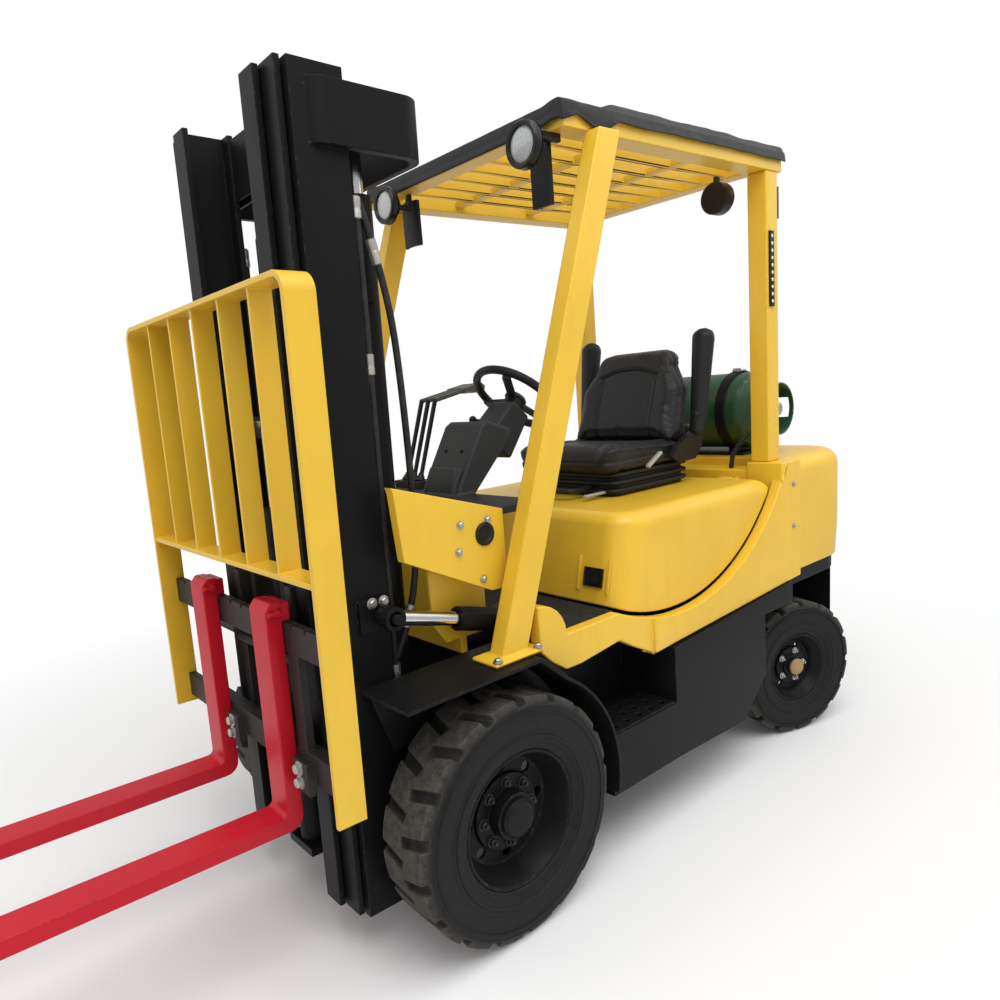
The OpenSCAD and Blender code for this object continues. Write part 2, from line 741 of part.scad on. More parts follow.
// A dished rim: tyre seat, sloping barrel, disc with hand holes, nut flange and hub
module rim(rim_d, w, disc_y, bore_r, flange_r, hub_r, hub_y, holes) {
    seat_r = rim_d / 2 - seat_gap;
    dish_r = seat_r - 42;
    hole_r = (dish_r - flange_r) * 0.36;
    color(black) difference() {
        turned() {
            polygon([[seat_r, -w * 0.42], [seat_r, w * 0.42], [seat_r - 9, w * 0.42], [seat_r - 15, w * 0.36],
                     [seat_r - 34, disc_y + 30], [dish_r, disc_y + 12], [dish_r, disc_y], [seat_r - 14, disc_y - 14],
                     [seat_r - 14, -w * 0.42]]);
            translate([bore_r, disc_y]) square([dish_r + 2 - bore_r, 12]);
            translate([bore_r, disc_y - 20]) square([flange_r - bore_r, 46]);
            translate([bore_r, disc_y]) square([hub_r - bore_r, hub_y - disc_y]);
        }
        for (i = [0:holes - 1]) rotate([0, i * 360 / holes, 0])
            translate([(dish_r + flange_r) / 2, 0, 0]) rod_y(hole_r, disc_y - 5, disc_y + 25);
    }
}
module drive_rim() { rim(drive_rim_d, drive_tyre_w, -8, spindle_r + seat_gap, 108, 66, 58, 8); }
module steer_rim() { rim(steer_rim_d, steer_tyre_w, 4, steer_spindle_r + seat_gap, 74, 46, 42, 6); }
module at_drive() { placed() translate([0, drive_y, axle_z]) children(); }
module at_drive_right() { placed() mirror([0, 1, 0]) translate([0, drive_y, axle_z]) children(); }
module at_knuckle() { placed() translate([steer_x, kingpin_y, steer_z]) rotate([0, 0, -steer_turn]) children(); }
module at_knuckle_right() {
    placed() translate([steer_x, -kingpin_y, steer_z]) rotate([0, 0, -steer_turn]) mirror([0, 1, 0]) children();
}
module at_steer() { at_knuckle() translate([0, steer_y - kingpin_y, 0]) children(); }
module at_steer_right() { at_knuckle_right() translate([0, steer_y - kingpin_y, 0]) children(); }

module drive_rim_left() { at_drive() drive_rim(); }
module drive_rim_right() { at_drive_right() drive_rim(); }
module drive_tyre_left() { at_drive() drive_tyre(); }
module drive_tyre_right() { at_drive_right() drive_tyre(); }
module steer_rim_left() { at_steer() steer_rim(); }
module steer_rim_right() { at_steer_right() steer_rim(); }
module steer_tyre_left() { at_steer() steer_tyre(); }
module steer_tyre_right() { at_steer_right() steer_tyre(); }

module knuckle() {
    color(dark) {
        translate([0, 0, -45]) cylinder(r = 29, h = 90);
        translate([0, 0, -72]) cylinder(r = 17, h = 144);
        rod_y(steer_spindle_r, 10, steer_y - kingpin_y + 62);
        rod_y(44, 44, 56);
        difference() {
            union() {
                block([0, -18, -18], [arm_l, 18, -2]);
                translate([arm_l, 0, -18]) cylinder(r = 18, h = 16);
            }
            translate([arm_l, 0, -30]) cylinder(r = 9, h = 40);
        }
    }
}
module knuckle_left() { at_knuckle() knuckle(); }
module knuckle_right() { at_knuckle_right() knuckle(); }

module steer_rod() {
    link_x = arm_l - 12;
    color(steel) placed() translate([steer_x, rod_shift, steer_z]) {
        translate([100, 0, 12]) rod_y(16, -kingpin_y + 121, kingpin_y - 121);
        both_sides() translate([0, 0, 5]) linear_extrude(14)
            polygon([[100, kingpin_y - 146], [84, kingpin_y - 131], [link_x - 12, kingpin_y - 6], [link_x - 4, kingpin_y + 10],
                     [link_x + 10, kingpin_y + 6], [112, kingpin_y - 121], [112, kingpin_y - 141]]);
    }
}

module steering_wheel() {
    color(black) placed() translate([wheel_c[0], operator_y, wheel_c[1]]) rotate([0, -wheel_tilt, 0]) {
        rotate_extrude($fn = 72) translate([150, 0]) circle(14, $fn = 24);
        difference() {
            union() {
                translate([0, 0, -46]) cylinder(r = 34, h = 44);
                for (a = [30, 150, 270]) rotate([0, 0, a]) block([20, -14, -24], [146, 14, -10]);
            }
            translate([0, 0, -60]) cylinder(r = 14 + pin_gap, h = 40);
        }
    }
}

// Mast rails
module channel(back, y_in, y_out, web0, web1) {
    union() {
        translate([back, y_in]) square([rail_flange, y_out - y_in]);
        translate([back + rail_depth - rail_flange, y_in]) square([rail_flange, y_out - y_in]);
        translate([back, web0]) square([rail_depth, web1 - web0]);
    }
}

module outer_mast() {
    color(black) on_mast() {
        both_sides() {
            translate([0, 0, mast_foot]) linear_extrude(mast_top - mast_foot - 4)
                channel(rail_back, outer_y0, mast_half_w, mast_half_w - web_outer, mast_half_w);
            difference() {
                union() {
                    translate([0, 0, axle_z]) rod_y(axle_r + 32, frame_y - 45, frame_y - 8);
                    block([0, frame_y - 45, axle_z - 92], [rail_back + 2, frame_y - 8, lift_low]);
                }
                translate([0, 0, axle_z]) rod_y(axle_r + pin_gap, frame_y - 100, frame_y + 100);
            }
            translate([tilt_local[0], 0, tilt_local[1]]) {
                difference() {
                    block([-34, mast_half_w - 2, -42], [60, mast_half_w + 12, 42]);
                }
                rod_y(tilt_pin_r, mast_half_w, tilt_y + 34);
            }
        }
        block([rail_back - 20, -outer_y0 - 4, mast_foot], [rail_back, outer_y0 + 4, 290]);
        block([rail_back - 20, -outer_y0 - 4, 1250], [rail_back, outer_y0 + 4, 1370]);
        translate([0, 0, mast_top - 182]) linear_extrude(142) difference() {
            translate([165, 0]) round_plate(330, 2 * mast_half_w + 44, 60);
            translate([185, 0]) round_plate(326, 2 * mast_half_w - 4, 40);
        }
    }
}

module lift_cylinders() {
    color(black) on_mast() both_sides() translate([lift_x, lift_y, 0]) difference() {
        union() {
            translate([0, 0, lift_low]) cylinder(r = lift_r, h = lift_top - lift_low);
            block([0, 20, lift_top - 260], [rail_back - lift_x, 48, lift_top - 220]);
        }
        translate([0, 0, lift_low + 30]) cylinder(r = lift_rod_r + 1, h = lift_top);
    }
}

module lift_rods() {
    color(steel) on_mast() both_sides() translate([lift_x, lift_y, 0]) translate([0, 0, lift_low + 60])
        cylinder(r = lift_rod_r, h = mast_top - 32 - lift_low - 60);
}

module mast_hoses() {
    color(black) on_mast() both_sides() for (i = [0:1]) translate([rail_back - 12, mast_half_w - 11 - i * 21, 0]) {
        translate([0, 0, 700]) cylinder(r = 9, h = mast_top - 976, $fn = 24);
        for (z = [900, 1500]) block([-6, -6, z], [12, 6, z + 40]);
    }
}

module middle_mast() {
    color(black) on_mast() {
        both_sides() {
            translate([0, 0, mast_foot + 6]) linear_extrude(mast_top - mast_foot - 6)
                channel(middle_back, middle_y0, middle_y1, middle_web - web_inner, middle_web);
            block([lift_x - 30, lift_y - 30, mast_top - 32], [middle_back + 2, lift_y + 30, mast_top]);
        }
        both_sides() translate([rail_back + rail_depth / 2, 0, mast_foot + 90]) rod_y(roller_r, middle_web - 2, mast_half_w - web_outer - run_gap);
        block([middle_back, -middle_web, mast_top - 186], [middle_back + tie_t, middle_web, mast_top - 16]);
        block([middle_back, -middle_web, 150], [middle_back + tie_t, middle_web, 280]);
    }
}

module inner_mast() {
    color(black) on_mast() {
        both_sides() translate([0, 0, mast_foot + 12]) linear_extrude(mast_top - mast_foot - 14)
            channel(inner_back, inner_y0, inner_y1, inner_web - web_inner, inner_web);
        both_sides() translate([middle_back + rail_depth / 2, 0, mast_foot + 100])
            rod_y(roller_r, inner_web - 2, middle_web - web_inner - run_gap);
        block([inner_back, -inner_web, mast_top - 176], [inner_back + tie_t, inner_web, mast_top - 16]);
        block([inner_back, -inner_web, 150], [inner_back + tie_t, inner_web, 300]);
        block([inner_back, -70, free_low - 26], [free_x + 50, 70, free_low]);
    }
}

module free_lift_cylinder() {
    color(black) on_mast() translate([free_x, 0, free_low]) difference() {
        cylinder(r = free_r, h = free_top - free_low);
        translate([0, 0, 30]) cylinder(r = free_rod_r + 1, h = free_top);
    }
}

module free_lift_rod() {
    color(steel) on_mast() translate([free_x, 0, 0]) {
        translate([0, 0, free_rod_low]) cylinder(r = free_rod_r, h = free_head - free_rod_low);
        translate([0, 0, free_head - 24]) block([-22, -chain_y - 30, 0], [22, chain_y + 30, 46]);
    }
}

module lift_chains() {
    color(dark) on_mast() both_sides() translate([free_x + 14, chain_y, free_head]) {
        difference() {
            rod_y(pulley_r, -chain_w / 2, chain_w / 2);
            block([-60, -60, -25], [9, 60, 23]);
        }
        block([pulley_r - 1, -chain_w / 2, -free_head + 690], [pulley_r + 11, chain_w / 2, 4]);
    }
}

module carriage() {
    color(dark) on_mast() {
        both_sides() {
            block([inner_back + 22, plate_y, lower_bar_z - 30], [carriage_back + 2, plate_y + plate_t, upper_bar_z + 150]);
            for (z = [lower_bar_z + 30, upper_bar_z + 90])
                translate([inner_back + rail_depth / 2, 0, z]) rod_y(roller_r, inner_y0 - run_gap - 2, inner_web - web_inner - run_gap);
        }
        block([carriage_back, -430, lower_bar_z + 10], [carriage_back + bar_t, 430, lower_bar_z + 70]);
        block([carriage_back, -430, upper_bar_z], [carriage_back + bar_t, 430, upper_bar_z + 60]);
        for (y = [-260, 180], z = [lower_bar_z + 16, upper_bar_z + 6])
            block([carriage_back + bar_t - 1, y, z], [shift_back - seat_gap, y + 80, z + 46]);
        translate([carriage_back + 4, 0, upper_bar_z - 46]) rod_y(16, -plate_y - plate_t, plate_y + plate_t);
    }
}

notch_pitch = 76;

module sideshift_frame() {
    shift_face = shift_back + shift_t;
    color(dark) on_shift() {
        block([shift_back, -rest_half_w + 14, lower_bar_z], [shift_face, rest_half_w - 14, lower_bar_z + bar_h]);
        difference() {
            block([shift_back, -rest_half_w + 14, upper_bar_z], [shift_face, rest_half_w - 14, upper_bar_z + bar_h]);
            for (i = [-6:6]) block([shift_back - 1, i * notch_pitch - 6, upper_bar_z + bar_h - 10],
                                   [shift_face + 1, i * notch_pitch + 6, upper_bar_z + bar_h + 1]);
        }
        for (s = [-1, 1]) block([shift_back, s * 300 - 25, lower_bar_z], [shift_face, s * 300 + 25, upper_bar_z + 5]);
        // Clamps on the lower bar, to the left of each fork
        for (s = [-1, 1]) translate([shift_face, s * fork_pitch / 2 + fork_w / 2 + 22, lower_bar_z]) {
            block([-1, 0, -20], [24, 72, bar_h - 16]);
            block([-1, 12, -34], [16, 60, -18]);
        }
    }
}

rest_t = 14;
rest_depth = 72;
rest_corner = 48;

// The hoop of side plates and top bar, as a front outline in Y and Z
module rest_hoop(low, top, shrink) {
    translate([-rest_half_w + shrink, low - 5 * shrink]) square([2 * (rest_half_w - shrink), top - rest_corner - low + 5 * shrink]);
    translate([-rest_half_w + rest_corner, low - 5 * shrink])
        square([2 * (rest_half_w - rest_corner), top - shrink - low + 5 * shrink]);
    for (s = [-1, 1]) translate([s * (rest_half_w - rest_corner), top - rest_corner]) circle(rest_corner - shrink);
}

module load_backrest() {
    low = lower_bar_z - 24;
    top = fork_z + rest_h;
    cross = fork_z + fork_shank + 77;
    pitch = 2 * (rest_half_w - rest_t) / (rest_bars + 1);
    color(yellow) on_shift() {
        translate([shift_back - 4, 0, 0]) rotate([90, 0, 90]) linear_extrude(rest_depth + 4) difference() {
            rest_hoop(low, top, 0);
            rest_hoop(low, top, rest_t);
        }
        block([shift_back - 2, -rest_half_w + 2, cross], [shift_back + rest_depth - 4, rest_half_w - 2, cross + 14]);
        for (i = [1:rest_bars]) translate([0, -(rest_half_w - rest_t) + i * pitch, 0])
            block([shift_back + 4, -5.5, cross], [shift_back + rest_depth - 10, 5.5, top - 2]);
    }
}

heel_r = 40;
fillet_r = 16;

module forks() {
    shank_top = fork_z + fork_shank;
    color(red) on_shift() for (s = [-1, 1]) translate([0, s * fork_pitch / 2, 0]) {
        side_slab(-fork_w / 2, fork_w / 2) polygon(concat(
            [for (a = [180:15:270]) [fork_back + heel_r * (1 + cos(a)), fork_z + heel_r * (1 + sin(a))]],
            [[fork_face + fork_l, fork_z], [fork_face + fork_l, fork_z + 12], [fork_face + fork_l - 400, fork_z + fork_t]],
            [for (a = [270:-30:180]) [fork_face + fillet_r * (1 + cos(a)), fork_z + fork_t + fillet_r * (1 + sin(a))]],
            [[fork_face, shank_top - 20], [fork_face - 16, shank_top], [fork_back, shank_top]]));
        block([shift_back + 2, -fork_w / 2, upper_bar_z + bar_h + seat_gap], [fork_back + 1, fork_w / 2, shank_top - 4]);
        block([shift_back + 2, -fork_w / 2, lower_bar_z - 40], [fork_back + 1, fork_w / 2, lower_bar_z - seat_gap]);
        // Latch beside the hook
        translate([fork_back + 12, 0, upper_bar_z + bar_h + 26]) {
            rod_y(9, fork_w / 2 - 1, fork_w / 2 + 14);
            block([-6, fork_w / 2 + 4, -6], [30, fork_w / 2 + 14, 6]);
        }
    }
}

// Tilt cylinders, drawn along X from the base pin
module along_tilt() {
    placed() translate([tilt_base[0], 0, tilt_base[1]]) rotate([0, -tilt_angle, 0]) children();
}
module tilt_cylinders() {
    color(black) along_tilt() both_sides() translate([0, tilt_y, 0]) difference() {
        union() {
            rod_x(tilt_r, 26, tilt_barrel_l);
            rod_y(26, -26, 26);
            block([0, -20, -24], [40, 20, 24]);
        }
        rod_y(tilt_pin_r + pin_gap, -60, 60);
        rod_x(tilt_rod_r + 1, 44, 400);
    }
}
module tilt_rods() {
    color(steel) along_tilt() both_sides() translate([0, tilt_y, 0]) difference() {
        union() {
            rod_x(tilt_rod_r, 110, tilt_run - 20);
            translate([tilt_run, 0, 0]) rod_y(30, -24, 24);
        }
        translate([tilt_run, 0, 0]) rod_y(tilt_pin_r + 5, -60, 60);
    }
}

frame();
step_treads();
fenders();
side_panels();
floor_plate();
cowl();
dash_console();
control_levers();
pedals();
guard_legs();
guard_roof();
roof_cover();
lamps();
mirrors();
rear_deck();
counterweight();
counterweight_base();
tank_bracket();
gas_tank();
drive_axle();
steer_axle();
engine_block();
hood();
seat_base();
seat_cushion();
seat_back();
armrests();
drive_rim_left();
drive_tyre_left();
drive_rim_right();
drive_tyre_right();
knuckle_left();
knuckle_right();
steer_rim_left();
steer_tyre_left();
steer_rim_right();
steer_tyre_right();
steer_rod();
steering_wheel();
outer_mast();
lift_cylinders();
mast_hoses();
middle_mast();
lift_rods();
inner_mast();
free_lift_cylinder();
free_lift_rod();
lift_chains();
carriage();
sideshift_frame();
load_backrest();
forks();
tilt_cylinders();
tilt_rods();
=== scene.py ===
"""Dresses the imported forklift: finishes, soft goods, hardware and a plain studio."""

import json
import math

import bmesh
import bpy
from mathutils import Matrix, Vector, noise
from mathutils.bvhtree import BVHTree


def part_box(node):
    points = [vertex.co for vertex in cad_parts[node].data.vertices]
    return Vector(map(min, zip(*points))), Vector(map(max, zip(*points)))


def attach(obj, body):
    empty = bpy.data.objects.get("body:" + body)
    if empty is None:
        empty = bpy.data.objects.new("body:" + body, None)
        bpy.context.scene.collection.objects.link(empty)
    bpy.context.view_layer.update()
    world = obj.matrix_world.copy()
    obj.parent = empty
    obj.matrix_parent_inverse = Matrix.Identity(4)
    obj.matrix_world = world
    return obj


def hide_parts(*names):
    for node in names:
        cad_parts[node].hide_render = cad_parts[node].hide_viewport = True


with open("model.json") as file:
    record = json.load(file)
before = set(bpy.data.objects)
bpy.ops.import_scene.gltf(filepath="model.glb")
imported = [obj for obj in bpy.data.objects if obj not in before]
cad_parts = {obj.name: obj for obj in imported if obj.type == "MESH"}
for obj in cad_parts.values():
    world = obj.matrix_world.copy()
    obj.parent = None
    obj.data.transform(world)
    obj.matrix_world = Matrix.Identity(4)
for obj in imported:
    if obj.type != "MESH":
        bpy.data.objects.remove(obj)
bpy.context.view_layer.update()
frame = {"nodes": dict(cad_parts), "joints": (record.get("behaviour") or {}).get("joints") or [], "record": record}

bl_info = {
    "name": "Forklift finish",
    "version": (1, 0, 0),
    "blender": (4, 5, 0),
    "location": "View3D > Sidebar > Forklift",
    "description": "Dresses the packed forklift with finishes, soft goods and hardware",
    "category": "Object",
}

BODY = {node: body for body, nodes in frame["record"]["behaviour"]["bodies"].items() for node in nodes}
SLOT = {part["node"]: part["material_slot"] for part in frame["record"]["subparts"]}
X, Y, Z = Vector((1, 0, 0)), Vector((0, 1, 0)), Vector((0, 0, 1))


def middle(node):
    """The middle of a CAD node's box."""
    low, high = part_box(node)
    return (low + high) / 2


AXLE = middle("drive_tyre_left")
AXLE.y = 0


def place(x, y, z):
    """A point given from the drive axle's line on the floor."""
    return Vector((AXLE.x + x, y, z))


def lean_frame():
    """The leaning mast's own axes about the drive axle, as a matrix to the row frame."""
    lift = next(j for j in frame["joints"] if j["name"] == "mast_lift")
    up = Vector(lift["axis"]).normalized()
    ahead = Y.cross(up)
    turn = Matrix((ahead, Y, up)).transposed().to_4x4()
    return Matrix.Translation(AXLE) @ turn @ Matrix.Translation((0, 0, -AXLE.z))


MAST = lean_frame()


# Shader sums


def sums(operation, swapped=False):
    """A method that works out one sum of two terms."""

    def method(self, other):
        return self.sum(operation, *((other, self) if swapped else (self, other)))

    return method


class Value:
    """A shader socket that takes part in Python sums."""

    __add__, __radd__ = sums("ADD"), sums("ADD", True)
    __sub__, __rsub__ = sums("SUBTRACT"), sums("SUBTRACT", True)
    __mul__, __rmul__ = sums("MULTIPLY"), sums("MULTIPLY", True)
    __truediv__, __pow__ = sums("DIVIDE"), sums("POWER")

    def __init__(self, tree, socket):
        self.tree = tree
        self.socket = socket

    def sum(self, operation, *terms):
        node = self.tree.nodes.new("ShaderNodeMath")
        node.operation = operation
        for socket, term in zip(node.inputs, terms):
            if isinstance(term, Value):
                self.tree.links.new(term.socket, socket)
            else:
                socket.default_value = term
        return Value(self.tree, node.outputs[0])

    def clamped(self):
        node = self.tree.nodes.new("ShaderNodeClamp")
        self.tree.links.new(self.socket, node.inputs[0])
        return Value(self.tree, node.outputs[0])

    def step(self, low, high):
        """0 below low, 1 above high and even between."""
        return ((self - low) / (high - low)).clamped()


class Finish:
    """One material, built node by node round a Principled shader."""

    def __init__(self, name, **constants):
        self.material = bpy.data.materials.new(name)
        self.material.use_nodes = True
        self.tree = self.material.node_tree
        self.tree.nodes.clear()
        self.shader = self.tree.nodes.new("ShaderNodeBsdfPrincipled")
        out = self.tree.nodes.new("ShaderNodeOutputMaterial")
        self.tree.links.new(self.shader.outputs[0], out.inputs[0])
        self.coords = self.node("ShaderNodeTexCoord", output="Object")
        for socket, value in constants.items():
            self.give(socket.replace("_", " "), value)

    def node(self, kind, settings=None, inputs=None, output=0):
        node = self.tree.nodes.new(kind)
        for name, value in (settings or {}).items():
            setattr(node, name, value)
        for name, value in (inputs or {}).items():
            self.feed(node.inputs[name], value)
        return Value(self.tree, node.outputs[output])

    def feed(self, socket, value):
        if isinstance(value, Value):
            self.tree.links.new(value.socket, socket)
        elif isinstance(value, (tuple, list)) and len(value) == 3 and len(socket.default_value) == 4:
            socket.default_value = (*value, 1)
        else:
            socket.default_value = value

    def give(self, socket, value):
        self.feed(self.shader.inputs[socket], value)

    def noise(self, scale, detail=3.0, roughness=0.55, distortion=0.0, coords=None):
        inputs = {"Scale": scale, "Detail": detail, "Roughness": roughness, "Distortion": distortion}
        return self.node("ShaderNodeTexNoise", inputs={"Vector": coords or self.coords, **inputs})

    def cells(self, scale, feature="F1"):
        return self.node("ShaderNodeTexVoronoi", {"feature": feature}, {"Vector": self.coords, "Scale": scale})

    def bands(self, scale, way):
        settings = {"wave_type": "BANDS", "bands_direction": way}
        return self.node("ShaderNodeTexWave", settings, {"Vector": self.coords, "Scale": scale})

    def stretched(self, scale):
        """Object coordinates, longer or shorter along each axis."""
        return self.node("ShaderNodeMapping", inputs={"Vector": self.coords, "Scale": scale})

    def along(self, axis):
        return self.node("ShaderNodeSeparateXYZ", inputs={0: self.coords}, output=axis)

    def kept(self, name):
        """A number stored on the mesh."""
        return self.node("ShaderNodeAttribute", {"attribute_name": name}, output="Fac")

    def mix(self, factor, first, second):
        return self.node("ShaderNodeMix", {"data_type": "RGBA"}, {0: factor, 6: first, 7: second}, output=2)

    def bump(self, height, strength, distance, below=None):
        inputs = {"Height": height, "Strength": strength, "Distance": distance}
        if below:
            inputs["Normal"] = below
        return self.node("ShaderNodeBump", inputs=inputs)


def shade(colour, by):
    """A colour made darker or lighter."""
    return tuple(min(1.0, part * by) for part in colour)


DUST = (0.19, 0.155, 0.11)
RUST = (0.17, 0.075, 0.03)
RIDGE_PITCH = 0.006


def paint(name, colour, roughness, wear, chip, dust=0.5, peel=0.25, coat=0.18, shine=0.4):
    """Sprayed enamel with orange peel, faint streaks, low dust and chipped edges."""
    f = Finish(name, Coat_Weight=coat, Coat_Roughness=0.18, Specular_IOR_Level=shine)
    broad = f.noise(2.4, 4)
    streak = f.noise(5.0, 5, coords=f.stretched((5.0, 5.0, 0.6)))
    grime = f.noise(17.0, 7, 0.65)
    fine = f.noise(260.0, 2)
    low = 1 - f.along("Z").step(0.1, 0.85)
    film = (low * 0.5 + 0.12) * grime.step(0.42, 0.72) * dust
    tint = f.mix(broad.step(0.3, 0.7), shade(colour, 0.93), shade(colour, 1.05))
    tint = f.mix(streak.step(0.5, 0.9) * 0.22, tint, shade(colour, 0.7))
    chips = f.kept("edge") * f.noise(75.0, 4).step(0.56, 0.62) * wear
    specks = f.noise(140.0, 2).step(0.72, 0.75) * wear * 0.5
    gone = (chips + specks * grime.step(0.55, 0.65)).clamped()
    f.give("Base Color", f.mix(gone, f.mix(film, tint, DUST), chip))
    f.give("Roughness", (roughness + grime * 0.1 + film * 0.35 + gone * 0.2).clamped())
    peeled = f.noise(420.0, 2)
    f.give("Normal", f.bump(peeled + fine * 0.3 - gone * 1.5, peel, 0.0006))
    return f.material


def bare_steel(name, colour, roughness, scratch=0.3, rust=0.0, metallic=1.0):
    """Worked steel: fine scratches one way, dark oil in patches and a little rust."""
    f = Finish(name, Metallic=metallic)
    lines = f.noise(30.0, 5, coords=f.stretched((3.0, 3.0, 60.0)))
    spots = f.noise(42.0, 6, 0.7)
    oil = f.noise(7.0, 5).step(0.5, 0.75)
    tint = f.mix(lines.step(0.3, 0.7), shade(colour, 0.8), shade(colour, 1.15))
    tint = f.mix(oil * 0.35, tint, shade(colour, 0.45))
    f.give("Base Color", f.mix(spots.step(0.6, 0.72) * rust, tint, RUST))
    f.give("Roughness", (roughness + lines * scratch * 0.4 + spots * 0.12 - oil * 0.08).clamped())
    f.give("Normal", f.bump(lines + spots * 0.6, scratch, 0.0008))
    return f.material


def tyre_rubber(name):
    """Black rubber with fine side ridges; the tread is dusty and scuffed at its edges."""
    f = Finish(name, Specular_IOR_Level=0.2)
    tread = f.kept("tread")
    out = f.kept("radius")
    ridges = f.node("ShaderNodeMath", {"operation": "SINE"}, {0: out * (2 * math.pi / RIDGE_PITCH)})
    across = f.kept("side")
    step = across.step(0.1, 0.16) - across.step(0.36, 0.4) + across.step(0.78, 0.82)
    mottled = f.noise(38.0, 7, 0.7)
    grit = f.noise(310.0, 4, 0.7)
    dusty = (tread * (0.35 + 0.9 * mottled.step(0.35, 0.7)) + f.kept("edge") * 0.35 * mottled).clamped()
    side = f.mix(mottled.step(0.4, 0.8) * 0.5, (0.0085, 0.0088, 0.0094), (0.02, 0.02, 0.0197))
    ground = f.mix(grit.step(0.35, 0.7), (0.052, 0.048, 0.041), (0.12, 0.11, 0.093))
    f.give("Base Color", f.mix(dusty, side, ground))
    f.give("Roughness", (0.52 + dusty * 0.38 + mottled * 0.1).clamped())
    smooth = f.bump(step + ridges * (1 - tread) * 0.06, 0.7, 0.006)
    f.give("Normal", f.bump(grit * (0.3 + tread), 0.55, 0.0018, smooth))
    return f.material


def moulded(name, colour, roughness, grain=900.0, depth=0.25, dust=0.25):
    """Moulded plastic with a spark-eroded grain and a little settled dust."""
    f = Finish(name, Specular_IOR_Level=0.28)
    pebbles = f.cells(grain)
    broad = f.noise(6.0, 5)
    scuff = f.noise(60.0, 6, 0.7, coords=f.stretched((1.0, 2.4, 1.0))).step(0.6, 0.78)
    tint = f.mix(broad.step(0.3, 0.7), shade(colour, 0.8), shade(colour, 1.2))
    tint = f.mix((scuff * 0.3 + f.kept("edge") * 0.35) * dust * 2, tint, shade(colour, 3.2))
    f.give("Base Color", tint)
    f.give("Roughness", (roughness + broad * 0.1 + scuff * 0.12).clamped())
    f.give("Normal", f.bump(pebbles, depth, 0.0007))
    return f.material


def seat_vinyl(name):
    """Upholstery vinyl: a fine leather grain, creases, a faint sheen and lighter, rougher worn patches."""
    f = Finish(name, Specular_IOR_Level=0.34, Sheen_Weight=0.03)
    grain = f.cells(620.0, "SMOOTH_F1")
    creases = f.noise(34.0, 5, 0.6, 0.8)
    worn = f.noise(6.0, 3).step(0.35, 0.7)
    f.give("Base Color", f.mix(worn, (0.0085, 0.009, 0.0102), (0.0145, 0.015, 0.0162)))
    f.give("Roughness", (0.36 + worn * 0.12 + creases * 0.14).clamped())
    f.give("Normal", f.bump(grain, 0.28, 0.0008, f.bump(creases, 0.12, 0.004)))
    return f.material


def cover_vinyl(name):
    """Coated cloth for the roof with a clear window: a faint weave, creases and dust."""
    f = Finish(name, Specular_IOR_Level=0.35)
    clear = f.kept("window").step(0.3, 0.7)
    weave = f.bands(190.0, "X") + f.bands(190.0, "Y")
    creases = f.noise(13.0, 6, 0.6, 1.2)
    dust = f.noise(20.0, 6, 0.7).step(0.45, 0.75)
    cloth = f.mix(dust * 0.6, (0.0125, 0.013, 0.014), (0.045, 0.046, 0.047))
    f.give("Base Color", f.mix(clear, cloth, (0.7, 0.72, 0.72)))
    f.give("Roughness", (0.46 + dust * 0.22 - clear * 0.3).clamped())
    f.give("Alpha", 1 - clear * (0.86 - 0.1 * dust))
    f.give("Normal", f.bump(weave, 0.12, 0.0004, f.bump(creases, 0.35, 0.006)))
    return f.material


def floor_mat(name):
    """Ribbed rubber mat with trodden dust."""
    f = Finish(name, Specular_IOR_Level=0.3)
    pips = f.cells(85.0, "DISTANCE_TO_EDGE")
    dust = f.noise(24.0, 7, 0.7)
    trodden = dust.step(0.42, 0.72)
    f.give("Base Color", f.mix(trodden * 0.4, (0.012, 0.012, 0.0125), (0.06, 0.056, 0.049)))
    f.give("Roughness", (0.66 + trodden * 0.25).clamped())
    f.give("Normal", f.bump(pips.step(0.05, 0.3), 0.7, 0.0025))
    return f.material


def rubber_hose(name):
    """Hose rubber with a braid under it and dust on it."""
    f = Finish(name, Specular_IOR_Level=0.35)
    braid = f.noise(240.0, 3)
    dust = f.noise(26.0, 6, 0.7).step(0.45, 0.75)
    f.give("Base Color", f.mix(dust * 0.45, (0.012, 0.012, 0.0125), (0.06, 0.056, 0.05)))
    f.give("Roughness", (0.48 + dust * 0.3).clamped())
    f.give("Normal", f.bump(braid, 0.3, 0.0006))
    return f.material


def lamp_lens(name, colour, roughness, cells):
    """Moulded lens, fluted inside: its pale colour is a painted reflection of a reflector behind it, and the flutes
    paint lighter and darker glints into that colour.
    """
    f = Finish(name, Specular_IOR_Level=0.6, Coat_Weight=0.7, Coat_Roughness=0.04)
    flutes_and_painted_glints = f.cells(cells, "SMOOTH_F1")
    # painted glints: the flute cells make the lens colour lighter and darker; the bump below is the real flute relief
    f.give("Base Color", f.mix(flutes_and_painted_glints.step(0.1, 0.7), shade(colour, 1.12), shade(colour, 0.86)))
    f.give("Roughness", (roughness + flutes_and_painted_glints * 0.15).clamped())
    f.give("Normal", f.bump(flutes_and_painted_glints, 0.3, 0.0015))
    return f.material


def mirror_glass(name):
    """Silvered glass with a few smears."""
    f = Finish(name, Metallic=1.0)
    smear = f.noise(14.0, 5).step(0.45, 0.8)
    f.give("Base Color", f.mix(smear, (0.62, 0.64, 0.66), (0.5, 0.51, 0.52)))
    f.give("Roughness", 0.03 + smear * 0.12)
    return f.material


FINISH = {}


